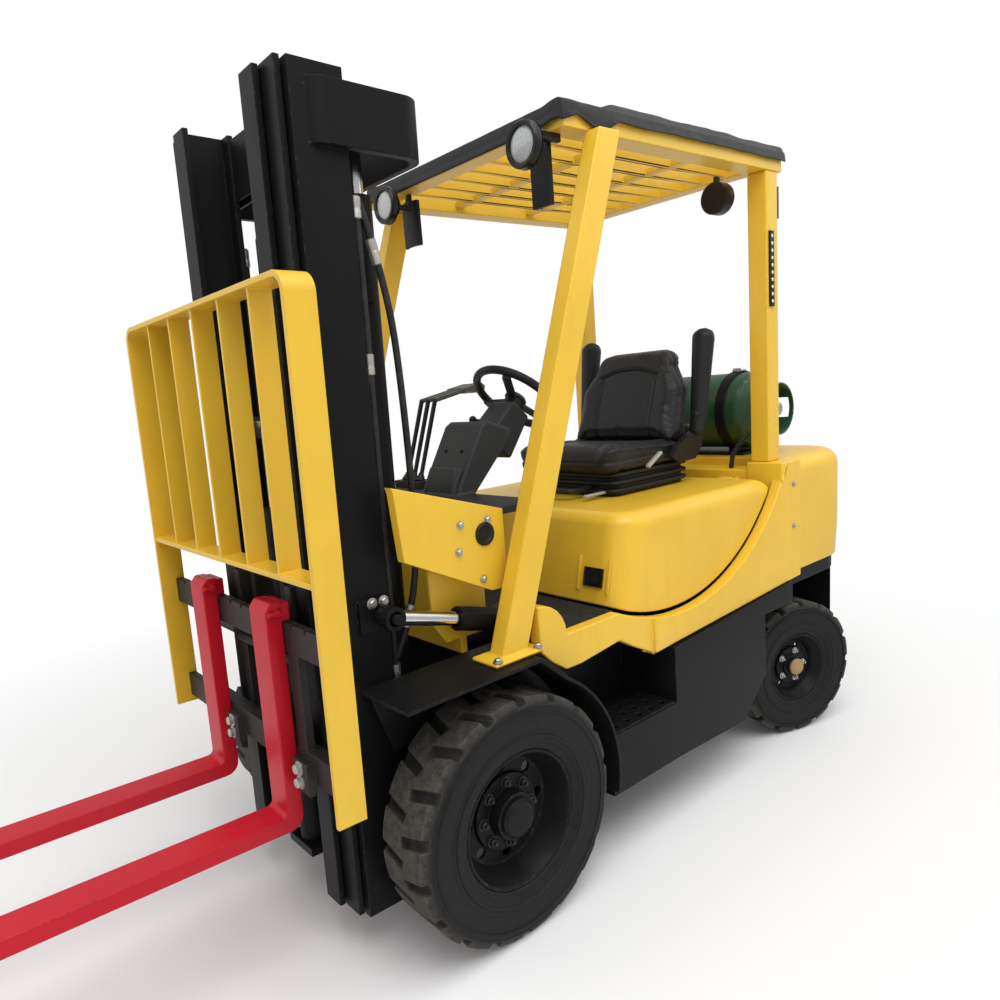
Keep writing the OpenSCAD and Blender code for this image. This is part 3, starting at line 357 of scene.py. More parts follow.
def make_finishes(look):
    """All the finishes, from the colours in the sidebar."""
    kinds = {
        paint: {
            "yellow_paint": (look.yellow, 0.32, 0.16, (0.3, 0.2, 0.06), 0.22),
            "black_paint": (look.black, 0.36, 0.4, (0.07, 0.066, 0.06), 0.05, 0.3, 0.02, 0.1),
            "red_paint": (look.red, 0.34, 0.5, (0.12, 0.03, 0.03), 0.1, 0.25, 0.06, 0.2),
            "tan_paint": ((0.36, 0.25, 0.1), 0.5, 0.6, (0.12, 0.1, 0.08), 0.8),
            "green_paint": (look.green, 0.4, 0.9, (0.2, 0.2, 0.19), 0.6),
        },
        bare_steel: {
            "bright_steel": ((0.66, 0.66, 0.67), 0.1, 0.08),
            "dark_steel": ((0.05, 0.048, 0.047), 0.42, 0.4, 0.25, 0.75),
            "cast_iron": ((0.028, 0.028, 0.029), 0.6, 0.5, 0.2, 0.3),
            "engine_paint": ((0.12, 0.12, 0.125), 0.6, 0.4, 0.2, 0.3),
            "zinc": ((0.52, 0.51, 0.47), 0.32, 0.3, 0.15),
        },
        tyre_rubber: {"tyre": ()},
        moulded: {
            "black_plastic": ((0.0095, 0.0098, 0.0108), 0.42),
            "grey_plastic": ((0.02, 0.0215, 0.0232), 0.44, 700.0, 0.35),
            "knob_grey": ((0.085, 0.084, 0.08), 0.35),
            "pale_plastic": ((0.34, 0.33, 0.29), 0.4),
            "lamp_black": ((0.012, 0.012, 0.0125), 0.22, 300.0, 0.08),
        },
        floor_mat: {"floor_rubber": ()},
        seat_vinyl: {"seat_vinyl": ()},
        cover_vinyl: {"cover_vinyl": ()},
        rubber_hose: {"hose_rubber": ()},
        lamp_lens: {
            # the clear lens's pale grey is a painted reflection of a lamp reflector behind it
            "clear_lens": ((0.5, 0.52, 0.52), 0.1, 180.0),
            "red_lens": ((0.32, 0.012, 0.012), 0.1, 160.0),
            "led_white": ((0.8, 0.81, 0.8), 0.15, 200.0),
        },
        mirror_glass: {"mirror_glass": ()},
    }
    for make, finishes in kinds.items():
        for name, values in finishes.items():
            FINISH[name] = make(name, *values)


# Mesh helpers


def unit(number):
    """A number held between 0 and 1."""
    return min(1.0, max(0.0, number))


def finished(name, bm, body, finish, sharp=38.0):
    """Closes a bmesh into a piece that rides a body."""
    bmesh.ops.recalc_face_normals(bm, faces=bm.faces)
    mesh = bpy.data.meshes.new(name)
    for face in bm.faces:
        face.smooth = True
    bm.to_mesh(mesh)
    bm.free()
    mesh.set_sharp_from_angle(angle=math.radians(sharp))
    mesh.materials.append(FINISH[finish])
    piece = bpy.data.objects.new(name, mesh)
    bpy.context.scene.collection.objects.link(piece)
    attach(piece, body)
    return piece


def rounded(bm, width, angle=30.0, segments=2):
    """Bevels the sharp edges and marks the new faces as edge wear."""
    sharp = [e for e in bm.edges if len(e.link_faces) == 2 and e.calc_face_angle(0.0) > math.radians(angle)]
    layer = bm.faces.layers.float.get("edge") or bm.faces.layers.float.new("edge")
    made = bmesh.ops.bevel(
        bm, geom=sharp, offset=width, offset_type="OFFSET", affect="EDGES", segments=segments,
        profile=0.5, material=-1, clamp_overlap=False,
    )
    for face in made["faces"]:
        face[layer] = 1.0


def merged_copy(node):
    """A CAD node's form with its triangles joined into flat faces."""
    bm = bmesh.new()
    bm.from_mesh(frame["nodes"][node].data)
    bmesh.ops.remove_doubles(bm, verts=bm.verts, dist=2e-4)
    bmesh.ops.dissolve_limit(
        bm, angle_limit=math.radians(0.6), use_dissolve_boundaries=False, verts=bm.verts, edges=bm.edges
    )
    large = [f for f in bm.faces if len(f.verts) > 4]
    bmesh.ops.triangulate(bm, faces=large, quad_method="BEAUTY", ngon_method="BEAUTY")
    return bm


def dressed(node, width, angle=30.0):
    """Replaces a CAD node by the same form with eased edges and a full finish."""
    bm = merged_copy(node)
    rounded(bm, width, angle)
    piece = finished(f"{node}_shell", bm, BODY[node], SLOT[node])
    even = piece.modifiers.new("even", "WEIGHTED_NORMAL")
    even.keep_sharp = True
    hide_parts(node)
    return piece


def turned_to(direction, at):
    """The matrix that takes +Z to a direction and the origin to a point."""
    return Matrix.Translation(at) @ Vector(direction).to_track_quat("Z", "Y").to_matrix().to_4x4()


def add_box(bm, low, high, matrix=None):
    """A box between two corners, in a matrix's frame where one is given."""
    low, high = Vector(low), Vector(high)
    fit = Matrix.Translation((low + high) / 2) @ Matrix.Diagonal((*(high - low), 1))
    bmesh.ops.create_cube(bm, size=1.0, matrix=(matrix or Matrix()) @ fit)


def add_cone(bm, matrix, radius, top_radius, height, sides):
    """A closed cone or prism about the middle of its height."""
    bmesh.ops.create_cone(
        bm, cap_ends=True, segments=sides, radius1=radius, radius2=top_radius, depth=height, matrix=matrix
    )


def add_rod(bm, start, end, radius, end_radius):
    """A round rod between two points."""
    add_cone(bm, turned_to(end - start, (start + end) / 2), radius, end_radius, (end - start).length, 12)


def add_plate(bm, near, far):
    """A plate between two outlines with as many points."""
    rings = [[bm.verts.new(point) for point in ring] for ring in (near, far)]
    for i in range(len(near)):
        bm.faces.new((rings[0][i - 1], rings[0][i], rings[1][i], rings[1][i - 1]))
    for ring in rings:
        bm.faces.new(ring)


def add_lathe(bm, profile, matrix, steps=40):
    """Spins a profile of (radius, height) about the matrix's Z axis."""
    chain = [bm.verts.new((radius, 0, height)) for radius, height in profile]
    edges = [bm.edges.new(pair) for pair in zip(chain, chain[1:])]
    bmesh.ops.spin(
        bm, geom=chain + edges, cent=(0, 0, 0), axis=(0, 0, 1), angle=2 * math.pi, steps=steps, use_merge=True
    )
    seen = set(chain)
    reach = list(chain)
    while reach:
        for edge in reach.pop().link_edges:
            for vert in edge.verts:
                if vert not in seen:
                    seen.add(vert)
                    reach.append(vert)
    bmesh.ops.transform(bm, matrix=matrix, verts=list(seen))
    bmesh.ops.remove_doubles(bm, verts=list(seen), dist=1e-6)


def turned_piece(name, body, finish, profile, matrix, steps=40, sharp=38.0):
    """A piece that is one turned profile."""
    bm = bmesh.new()
    add_lathe(bm, profile, matrix, steps)
    finished(name, bm, body, finish, sharp)


def add_bolt(bm, at, direction, size):
    """A hex head with a chamfered top on a washer."""
    matrix = turned_to(direction, at)
    washer = [(0, 0), (1.35, 0), (1.35, 0.22), (1, 0.3), (0, 0.3)]
    add_lathe(bm, [(size * radius, size * height) for radius, height in washer], matrix, 18)
    low, high = size * 0.25, size * 0.95
    add_cone(bm, matrix @ Matrix.Translation((0, 0, (low + high) / 2)), size, size, high - low, 6)
    add_cone(bm, matrix @ Matrix.Translation((0, 0, high + size * 0.09)), size, size * 0.8, size * 0.18, 6)


def bolts(name, body, spots, size):
    """One piece of like bolts at (point, direction) spots."""
    bm = bmesh.new()
    for at, direction in spots:
        add_bolt(bm, at, direction, size)
    finished(name, bm, body, "zinc", 30.0)


def smooth_path(points, steps=8):
    """Points close together on a smooth curve through the given ones."""
    points = [Vector(p) for p in points]
    ends = [points[0] * 2 - points[1], *points, points[-1] * 2 - points[-2]]
    path = []
    for a, b, c, d in zip(ends, ends[1:], ends[2:], ends[3:]):
        for i in range(steps):
            t = i / steps
            path.append(
                (b * 2 + (c - a) * t + (a * 2 - b * 5 + c * 4 - d) * t**2 + (b * 3 - a - c * 3 + d) * t**3) / 2
            )
    return [*path, points[-1]]


def add_sweep(bm, path, radius, sides=12):
    """A closed tube along a path."""
    side = (path[1] - path[0]).orthogonal().normalized()
    rings = []
    for i, point in enumerate(path):
        ahead = (path[min(i + 1, len(path) - 1)] - path[max(i - 1, 0)]).normalized()
        side = (side - ahead * side.dot(ahead)).normalized()
        other = ahead.cross(side)
        angles = [2 * math.pi * k / sides for k in range(sides)]
        rings.append([bm.verts.new(point + (side * math.cos(a) + other * math.sin(a)) * radius) for a in angles])
    for ring, following in zip(rings, rings[1:]):
        for k in range(sides):
            bm.faces.new((ring[k], ring[(k + 1) % sides], following[(k + 1) % sides], following[k]))
    bm.faces.new(rings[0])
    bm.faces.new(rings[-1])


def join_rows(bm, rows):
    """Faces between neighbouring rows of points."""
    for row, following in zip(rows, rows[1:]):
        for corners in zip(row, row[1:], following[1:], following):
            bm.faces.new(corners)

HOSE_RADIUS = 0.009


def hose(name, body, path):
    """A stiff hose along a path, fixed at both ends."""
    bm = bmesh.new()
    add_sweep(bm, path, HOSE_RADIUS, 14)
    piece = finished(name, bm, body, "hose_rubber", 60.0)


def crimp(bore, radius, neck, length):
    """The profile of a hose's ferrule with a groove near its middle."""
    groove = length - 0.032
    return [
        (bore, 0), (radius, 0.002), (radius, groove), (neck, groove + 0.004), (radius, groove + 0.008),
        (radius, length - 0.002), (bore, length),
    ]


def add_lens(bm, at, direction, radius, height):
    """A shallow dome with a flat back, facing a direction."""
    steps = [math.radians(a) for a in range(0, 91, 15)]
    dome = [(radius * math.sin(a), height * math.cos(a)) for a in steps]
    add_lathe(bm, [*dome, (radius * 0.98, -0.002), (0, -0.002)], turned_to(direction, at), 36)


def named(side):
    """The word for a side, from its sign."""
    return "left" if side > 0 else "right"


# Sidebar values


class ForkliftLook(bpy.types.PropertyGroup):
    """Colours of the paints."""

    yellow: bpy.props.FloatVectorProperty(
        name="Body paint", description="Colour of the body and guard", subtype="COLOR", default=(0.86, 0.54, 0.038)
    )
    black: bpy.props.FloatVectorProperty(
        name="Frame paint",
        description="Colour of the frame and mast",
        subtype="COLOR",
        default=(0.0085, 0.0088, 0.0096),
    )
    red: bpy.props.FloatVectorProperty(
        name="Fork paint", description="Colour of the forks", subtype="COLOR", default=(0.56, 0.008, 0.022)
    )
    green: bpy.props.FloatVectorProperty(
        name="Tank paint", description="Colour of the gas tank", subtype="COLOR", default=(0.012, 0.066, 0.027)
    )


class ForkliftSizes(bpy.types.PropertyGroup):
    """Sizes of the edges, hardware and soft goods."""

    panel_edge: bpy.props.FloatProperty(
        name="Panel edge", description="Rounding of pressed panels", unit="LENGTH", default=0.005
    )
    plate_edge: bpy.props.FloatProperty(
        name="Plate edge", description="Rounding of cut plates", unit="LENGTH", default=0.0022
    )
    bolt_size: bpy.props.FloatProperty(
        name="Bolt head", description="Radius of the panel bolts' heads", unit="LENGTH", default=0.0085
    )
    wheel_nut: bpy.props.FloatProperty(
        name="Wheel nut", description="Radius of a wheel nut", unit="LENGTH", default=0.0125
    )
    swell: bpy.props.FloatProperty(
        name="Cushion swell", description="How far the padding may push the vinyl out", unit="LENGTH", default=0.012
    )
    cover_hang: bpy.props.FloatProperty(
        name="Cover overhang", description="How far the roof cover hangs down in front", unit="LENGTH", default=0.05
    )


class ForkliftStudio(bpy.types.PropertyGroup):
    """Light and camera."""

    key: bpy.props.FloatProperty(
        name="Key light", description="Power of the main soft light", unit="POWER", default=185
    )
    fill: bpy.props.FloatProperty(
        name="Fill light", description="Power of each weaker light", unit="POWER", default=38
    )
    sky: bpy.props.FloatProperty(name="Sky", description="Strength of the even light all round", default=0.62)
    lens: bpy.props.FloatProperty(
        name="Lens", description="Focal length on a 36 mm frame", unit="CAMERA", default=27.06
    )
    eye: bpy.props.FloatVectorProperty(
        name="Eye",
        description="Camera's place from the drive axle's line",
        unit="LENGTH",
        default=(1.1908, 1.9497, 1.4721),
    )
    heading: bpy.props.FloatVectorProperty(
        name="Heading", description="Camera's yaw, pitch and roll", unit="ROTATION", default=(-2.2488, -0.1902, -0.0868)
    )


class ForkliftPiece:
    """What the operators share."""

    bl_options = {"REGISTER", "UNDO"}

    @property
    def sizes(self):
        return bpy.context.scene.forklift_sizes


class FORKLIFT_OT_finishes(ForkliftPiece, bpy.types.Operator):
    """Makes the paints, rubbers, plastics and metals"""

    bl_idname = "forklift.finishes"
    bl_label = "Finishes"

    def execute(self, context):
        make_finishes(context.scene.forklift_look)
        return {"FINISHED"}


class FORKLIFT_OT_body(ForkliftPiece, bpy.types.Operator):
    """Body panels, frame, fenders, steps and their hardware"""

    bl_idname = "forklift.body"
    bl_label = "Body"

    def execute(self, context):
        edge, plate = self.sizes.panel_edge, self.sizes.plate_edge
        for node in ("hood", "side_panels", "rear_deck", "counterweight", "counterweight_base"):
            dressed(node, edge, angle=32.0)
        for node in ("frame", "step_treads", "fenders", "cowl", "pedals", "floor_plate"):
            dressed(node, plate)
        self.cowl_hardware()
        self.hood_latch()
        self.panel_bolts()
        self.fender_aprons()
        return {"FINISHED"}

    def fender_aprons(self):
        """Splash plates that hang from the fenders' inner edges, beside the tyres."""
        fender, foot = 0.752, 0.57
        outline = [(-0.1, fender), (0.3, fender), (0.3, 0.72), (0.25, foot), (-0.04, foot), (-0.1, 0.65)]
        inner, outer = 0.3735, 0.3785
        for side in (1, -1):
            bm = bmesh.new()
            add_plate(bm, *([place(x, side * y, z) for x, z in outline] for y in (inner, outer)))
            bmesh.ops.recalc_face_normals(bm, faces=bm.faces)
            rounded(bm, 0.0014)
            for x in (-0.04, 0.11, 0.26):
                add_bolt(bm, place(x, side * outer, fender - 0.024), Y * side, self.sizes.bolt_size * 0.8)
            finished(f"fender_apron_{named(side)}", bm, "chassis", "black_paint")

    def cowl_hardware(self):
        """Panel bolts and a rubber plug on each side of the cowl."""
        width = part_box("cowl")[1].y
        spots = [(-0.074, 1.128), (0.018, 1.13), (0.03, 1.06), (-0.045, 0.972)]
        plug = [
            (0, 0.0025), (0.018, 0.002), (0.022, 0.006), (0.028, 0.007), (0.0315, 0.004), (0.032, 0), (0.03, -0.003)
        ]
        for side in (1, -1):
            places = [(place(x, side * width, z), Y * side) for x, z in spots]
            bolts(f"cowl_bolts_{named(side)}", "chassis", places, self.sizes.bolt_size)
            at = turned_to(Y * side, place(-0.062, side * width, 1.092))
            turned_piece(f"cowl_plug_{named(side)}", "chassis", "black_plastic", plug, at, 36)

    def hood_latch(self):
        """A recessed paddle latch between raised ribs on each side of the hood's front."""
        for side in (1, -1):
            bm = bmesh.new()
            at = hood_front_spot(0.862, side * 0.40)
            add_box(bm, (-0.038, -0.03, -0.004), (0.038, 0.03, 0.004), at)
            out = at.to_3x3() @ Z
            faces = [f for f in bm.faces if f.normal.dot(out) > 0.9]
            bmesh.ops.inset_region(bm, faces=faces, thickness=0.006)
            bmesh.ops.translate(bm, vec=out * -0.005, verts=list({v for f in faces for v in f.verts}))
            rounded(bm, 0.0014)
            add_box(bm, (-0.026, -0.02, -0.002), (0.026, 0.0, 0.004), at)
            finished(f"hood_latch_{named(side)}", bm, "hood", "black_plastic")
        bm = bmesh.new()
        for y in (-0.46, -0.34, 0.34, 0.46):
            add_box(bm, (-0.006, -0.055, -0.002), (0.006, 0.055, 0.003), hood_front_spot(0.87, y))
        rounded(bm, 0.0028, segments=3)
        finished("hood_ribs", bm, "hood", "yellow_paint")

    def panel_bolts(self):
        """Bolts on the rear pillars and on the guard's feet."""
        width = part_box("side_panels")[1].y
        low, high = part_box("guard_legs")
        sides = (1, -1)
        spots = [(place(-1.5, side * width, z), Y * side) for side in sides for z in (1.02, 0.86)]
        bolts("pillar_bolts", "chassis", spots, self.sizes.bolt_size * 0.9)
        y, z = high.y - 0.012, low.z + 0.013
        spots = [(place(x, side * y, z), Z) for side in sides for x in (-0.135, 0.009)]
        bolts("foot_bolts", "chassis", spots, self.sizes.bolt_size * 1.2)


def hood_front_spot(z, y):
    """The frame of a spot on the hood's leaning front: X across, Y up the slope, Z outwards."""
    base, foot, lean, rise = -0.5005, 0.78, 0.055, 0.224
    slope = Vector((-lean, 0, rise)).normalized()
    out = Y.cross(slope)
    turn = Matrix((slope.cross(out), slope, out)).transposed().to_4x4()
    return Matrix.Translation(place(base - (z - foot) * lean / rise, y, z)) @ turn


class FORKLIFT_OT_mast(ForkliftPiece, bpy.types.Operator):
    """Mast rails, cylinders, chains and hoses"""

    bl_idname = "forklift.mast"
    bl_label = "Mast"

    def execute(self, context):
        plate = self.sizes.plate_edge
        for node in ("outer_mast", "middle_mast", "inner_mast"):
            dressed(node, plate)
        for node in ("lift_cylinders", "free_lift_cylinder", "tilt_cylinders", "mast_hoses"):
            dressed(node, 0.0018)
        for node in ("lift_rods", "free_lift_rod", "lift_chains"):
            dressed(node, 0.001)
        rods = dressed("tilt_rods", 0.001).data
        rods.materials.append(FINISH["black_paint"])
        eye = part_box("tilt_rods")[1].x - 0.07
        for face in rods.polygons:
            face.material_index = int(face.center.x > eye)
        spots = [
            (MAST @ Vector((x, side * 0.357, 0.958)), Y * side) for side in (1, -1) for x in (0.238, 0.272)
        ]
        bolts("tilt_bracket_bolts", "mast", spots, 0.011)
        self.hose_fittings()
        self.free_hose()
        self.chain_links()
        return {"FINISHED"}

    def hose_fittings(self):
        """Crimped ferrules and hex nuts at the ends of the mast's hoses."""
        bm = bmesh.new()
        ferrule = crimp(0.0092, 0.0125, 0.0115, 0.052)
        for y in (0.334, 0.313, -0.334, -0.313):
            for z in (0.702, 1.52, 1.885):
                add_lathe(bm, ferrule, MAST @ Matrix.Translation((0.203, y, z)), 16)
            add_cone(bm, MAST @ Matrix.Translation((0.203, y, 0.765)), 0.0135, 0.0135, 0.02, 6)
        finished("hose_fittings", bm, "mast", "zinc", 30.0)

    def free_hose(self):
        """The hose that hangs free behind the mast's left rail, with a fitting at each end."""
        spots = [
            (0.196, 1.93), (0.16, 1.81), (0.124, 1.62), (0.108, 1.3), (0.112, 1.05), (0.145, 0.9), (0.196, 0.79)
        ]
        path = smooth_path([MAST @ Vector((x, 0.334, z)) for x, z in spots], 12)
        hose("mast_hose", "mast", path)
        bm = bmesh.new()
        ferrule = crimp(0.0094, 0.013, 0.0118, 0.062)
        for near, far in ((path[14], path[0]), (path[-15], path[-1])):
            add_lathe(bm, ferrule, turned_to(far - near, near), 18)
        finished("mast_hose_ends", bm, "mast", "zinc", 30.0)

    def chain_links(self):
        """Leaf plates on the front of each lift chain."""
        low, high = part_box("lift_chains")
        pitch, width, gap, half, front = 0.019, 0.026, 0.0085, 0.0017, 0.387
        foot, head = low.z + 0.02, high.z - 0.08
        bm = bmesh.new()
        for side in (1, -1):
            for i in range(int((head - foot) / pitch)):
                z = foot + i * pitch
                for k in (-1, 0, 1):
                    y = side * abs(high.y - width / 2) + k * gap + (0.0042 if i % 2 else 0.0)
                    add_box(bm, (front - 0.001, y - half, z), (front + 0.0012, y + half, z + pitch * 0.9), MAST)
        finished("chain_leaves", bm, "free_rod", "dark_steel", 30.0)


class FORKLIFT_OT_carriage(ForkliftPiece, bpy.types.Operator):
    """Carriage, side shifter, backrest and forks"""

    bl_idname = "forklift.carriage"
    bl_label = "Carriage and forks"

    def execute(self, context):
        plate = self.sizes.plate_edge
        for node in ("carriage", "sideshift_frame", "load_backrest"):
            dressed(node, plate)
        dressed("forks", 0.004)
        self.clamp_bolts()
        return {"FINISHED"}

    def clamp_bolts(self):
        """Two heavy bolts on each lower clamp, left of the forks."""
        ahead = MAST.to_3x3() @ X
        spots = [(MAST @ Vector((0.478, y, z)), ahead) for y in (-0.147, 0.283) for z in (0.528, 0.565)]
        bolts("clamp_bolts", "shifter", spots, 0.014)


class FORKLIFT_OT_wheels(ForkliftPiece, bpy.types.Operator):
    """Rims, tyres, hubs and nuts"""

    bl_idname = "forklift.wheels"
    bl_label = "Wheels"

    def execute(self, context):
        for end in ("drive", "steer"):
            for side in ("left", "right"):
                self.tyre(f"{end}_tyre_{side}")
                dressed(f"{end}_rim_{side}", 0.003, angle=25.0)
                self.hub(end, side)
        return {"FINISHED"}

    def axis_of(self, end, side):
        """The wheel's axle line, outwards."""
        body = f"{end}_wheel_{side}"
        joint = next(j for j in frame["joints"] if j["child"] == body)
        axis = Vector(joint["axis"]).normalized()
        return axis if side == "left" else -axis

    def tyre(self, node):
        """The tyre's blocks eased, with the places on its tread and sides kept for the finish."""
        end, _, side = node.split("_")
        axis = self.axis_of(end, side)
        centre = middle(node)
        bm = merged_copy(node)
        rounded(bm, 0.0035, 32.0)
        piece = finished(f"{node}_shell", bm, BODY[node], "tyre")
        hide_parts(node)
        mesh = piece.data
        arms = [vert.co - centre for vert in mesh.vertices]
        outs = [(arm - axis * arm.dot(axis)).length for arm in arms]
        rim, bore = max(outs), min(outs)
        kept = {
            "radius": outs,
            "tread": [unit((out - rim + 0.026) / 0.022) for out in outs],
            "side": [(out - bore) / (rim - bore) for out in outs],
        }
        for name, numbers in kept.items():
            mesh.attributes.new(name, "FLOAT", "POINT").data.foreach_set("value", numbers)
        self.side_rings(node, axis, centre, rim, max(arm.dot(axis) for arm in arms))

    def side_rings(self, node, axis, centre, rim, half):
        """Raised bands on both sides of a tyre, seated in its sidewalls."""
        bm = bmesh.new()
        for way in (1, -1):
            for inner, outer, wall in ((0.66, 0.7, 0.958), (0.86, 0.89, 1.0)):
                low, high = rim * inner, rim * outer
                band = [(low, -0.003), (low + 0.003, 0.002), (high - 0.003, 0.002), (high, -0.003)]
                add_lathe(bm, band, turned_to(axis * way, centre + axis * way * half * wall), 72)
        piece = finished(f"{node}_bands", bm, BODY[node], "tyre")
        for name in ("tread", "radius", "side"):
            piece.data.attributes.new(name, "FLOAT", "POINT")

    def hub(self, end, side):
        """Wheel nuts on the flange and the hub's cap."""
        axis = self.axis_of(end, side)
        matrix = turned_to(axis, middle(f"{end}_tyre_{side}"))
        nut = self.sizes.wheel_nut
        if end == "drive":
            count, ring, out, size, spindle, tip = 8, 0.087, 0.018, nut, 0.0468, 0.0665
            nut_finish, cap_finish = "dark_steel", "black_paint"
        else:
            count, ring, out, size, spindle, tip = 5, 0.06, 0.03, nut * 0.75, 0.0248, 0.0625
            nut_finish, cap_finish = "zinc", "tan_paint"
        body = f"{end}_wheel_{side}"
        bm = bmesh.new()
        for i in range(count):
            angle = 2 * math.pi * i / count
            at = matrix @ Vector((ring * math.cos(angle), ring * math.sin(angle), out))
            add_bolt(bm, at, axis, size)
            add_rod(bm, at + axis * size * 0.9, at + axis * size * 1.7, size * 0.5, size * 0.42)
        finished(f"{end}_nuts_{side}", bm, body, nut_finish, 30.0)
        bore, wall = spindle + 0.0006, spindle + 0.008
        cup = [
            (0, tip + 0.0008), (bore, tip + 0.0008), (bore, tip - 0.007), (wall, tip - 0.007),
            (wall, tip), (spindle, tip + 0.008), (spindle * 0.6, tip + 0.0095), (0, tip + 0.01),
        ]
        turned_piece(f"{end}_cap_{side}", body, cap_finish, cup, matrix)


class FORKLIFT_OT_guard(ForkliftPiece, bpy.types.Operator):
    """Overhead guard, lamps and mirrors"""

    bl_idname = "forklift.guard"
    bl_label = "Overhead guard"

    def execute(self, context):
        for node, width in (("guard_legs", 0.006), ("guard_roof", 0.003), ("lamps", 0.004), ("mirrors", 0.003)):
            dressed(node, width)
        self.low, self.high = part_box("guard_roof")
        self.lenses()
        self.rear_lights()
        self.mirror_glass()
        return {"FINISHED"}

    def lenses(self):
        """Round lenses of the two work lamps in front and the one behind."""
        top, front, back = self.high.z, self.high.x, self.low.x
        lamps = (
            (Vector((front + 0.1, 0.42, top - 0.105)), X, 0.046, 0.007, 0.06),
            (Vector((front + 0.062, -0.298, top - 0.09)), X, 0.046, 0.007, 0.06),
            (Vector((back + 0.11, 0.3, top - 0.12)), -X, 0.043, 0.006, 0.056),
        )
        glass, rims = bmesh.new(), bmesh.new()
        for at, way, radius, height, rim in lamps:
            add_lens(glass, at, way, radius, height)
            bezel = [(rim - 0.016, -0.001), (rim - 0.013, 0.008), (rim - 0.004, 0.009), (rim, 0.004), (rim, -0.004)]
            add_lathe(rims, bezel, turned_to(way, at), 40)
        finished("lamp_lenses", glass, "chassis", "clear_lens")
        finished("lamp_bezels", rims, "chassis", "lamp_black")

    def rear_lights(self):
        """Tail lenses behind the rear posts and a strip of small lights outside them."""
        back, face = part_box("lamps")[0].x + 0.001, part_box("lamps")[0].x - 0.004
        post, top = self.high.y - 0.002, self.high.z
        red, clear, strips, dots = (bmesh.new() for _ in range(4))
        for side in (1, -1):
            inner, outer = sorted((side * (post - 0.064), side * (post - 0.016)))
            add_box(red, (face, inner, top - 0.168), (back, outer, top - 0.112))
            add_box(clear, (face, inner, top - 0.21), (back, outer, top - 0.172))
            y0, y1 = sorted((side * (post - 0.001), side * (post + 0.007)))
            add_box(strips, place(-1.482, y0, 1.672), place(-1.454, y1, 1.932))
            for i in range(10):
                at = place(-1.468, side * (post + 0.007), 1.69 + i * 0.0249)
                add_lens(dots, at, Y * side, 0.0062, 0.002)
        for bm in (red, clear, strips):
            rounded(bm, 0.0015)
        finished("tail_red", red, "chassis", "red_lens")
        finished("tail_clear", clear, "chassis", "clear_lens")
        finished("light_strips", strips, "chassis", "black_plastic")
        finished("light_dots", dots, "chassis", "led_white")

    def mirror_glass(self):
        """Glass on the flat mirror's back, towards the operator."""
        back, top = self.high.x - 0.028, self.high.z
        bm = bmesh.new()
        add_box(bm, (back - 0.0015, 0.335, top - 0.234), (back + 0.0005, 0.397, top - 0.07))
        rounded(bm, 0.0006)
        finished("mirror_face", bm, "chassis", "mirror_glass")


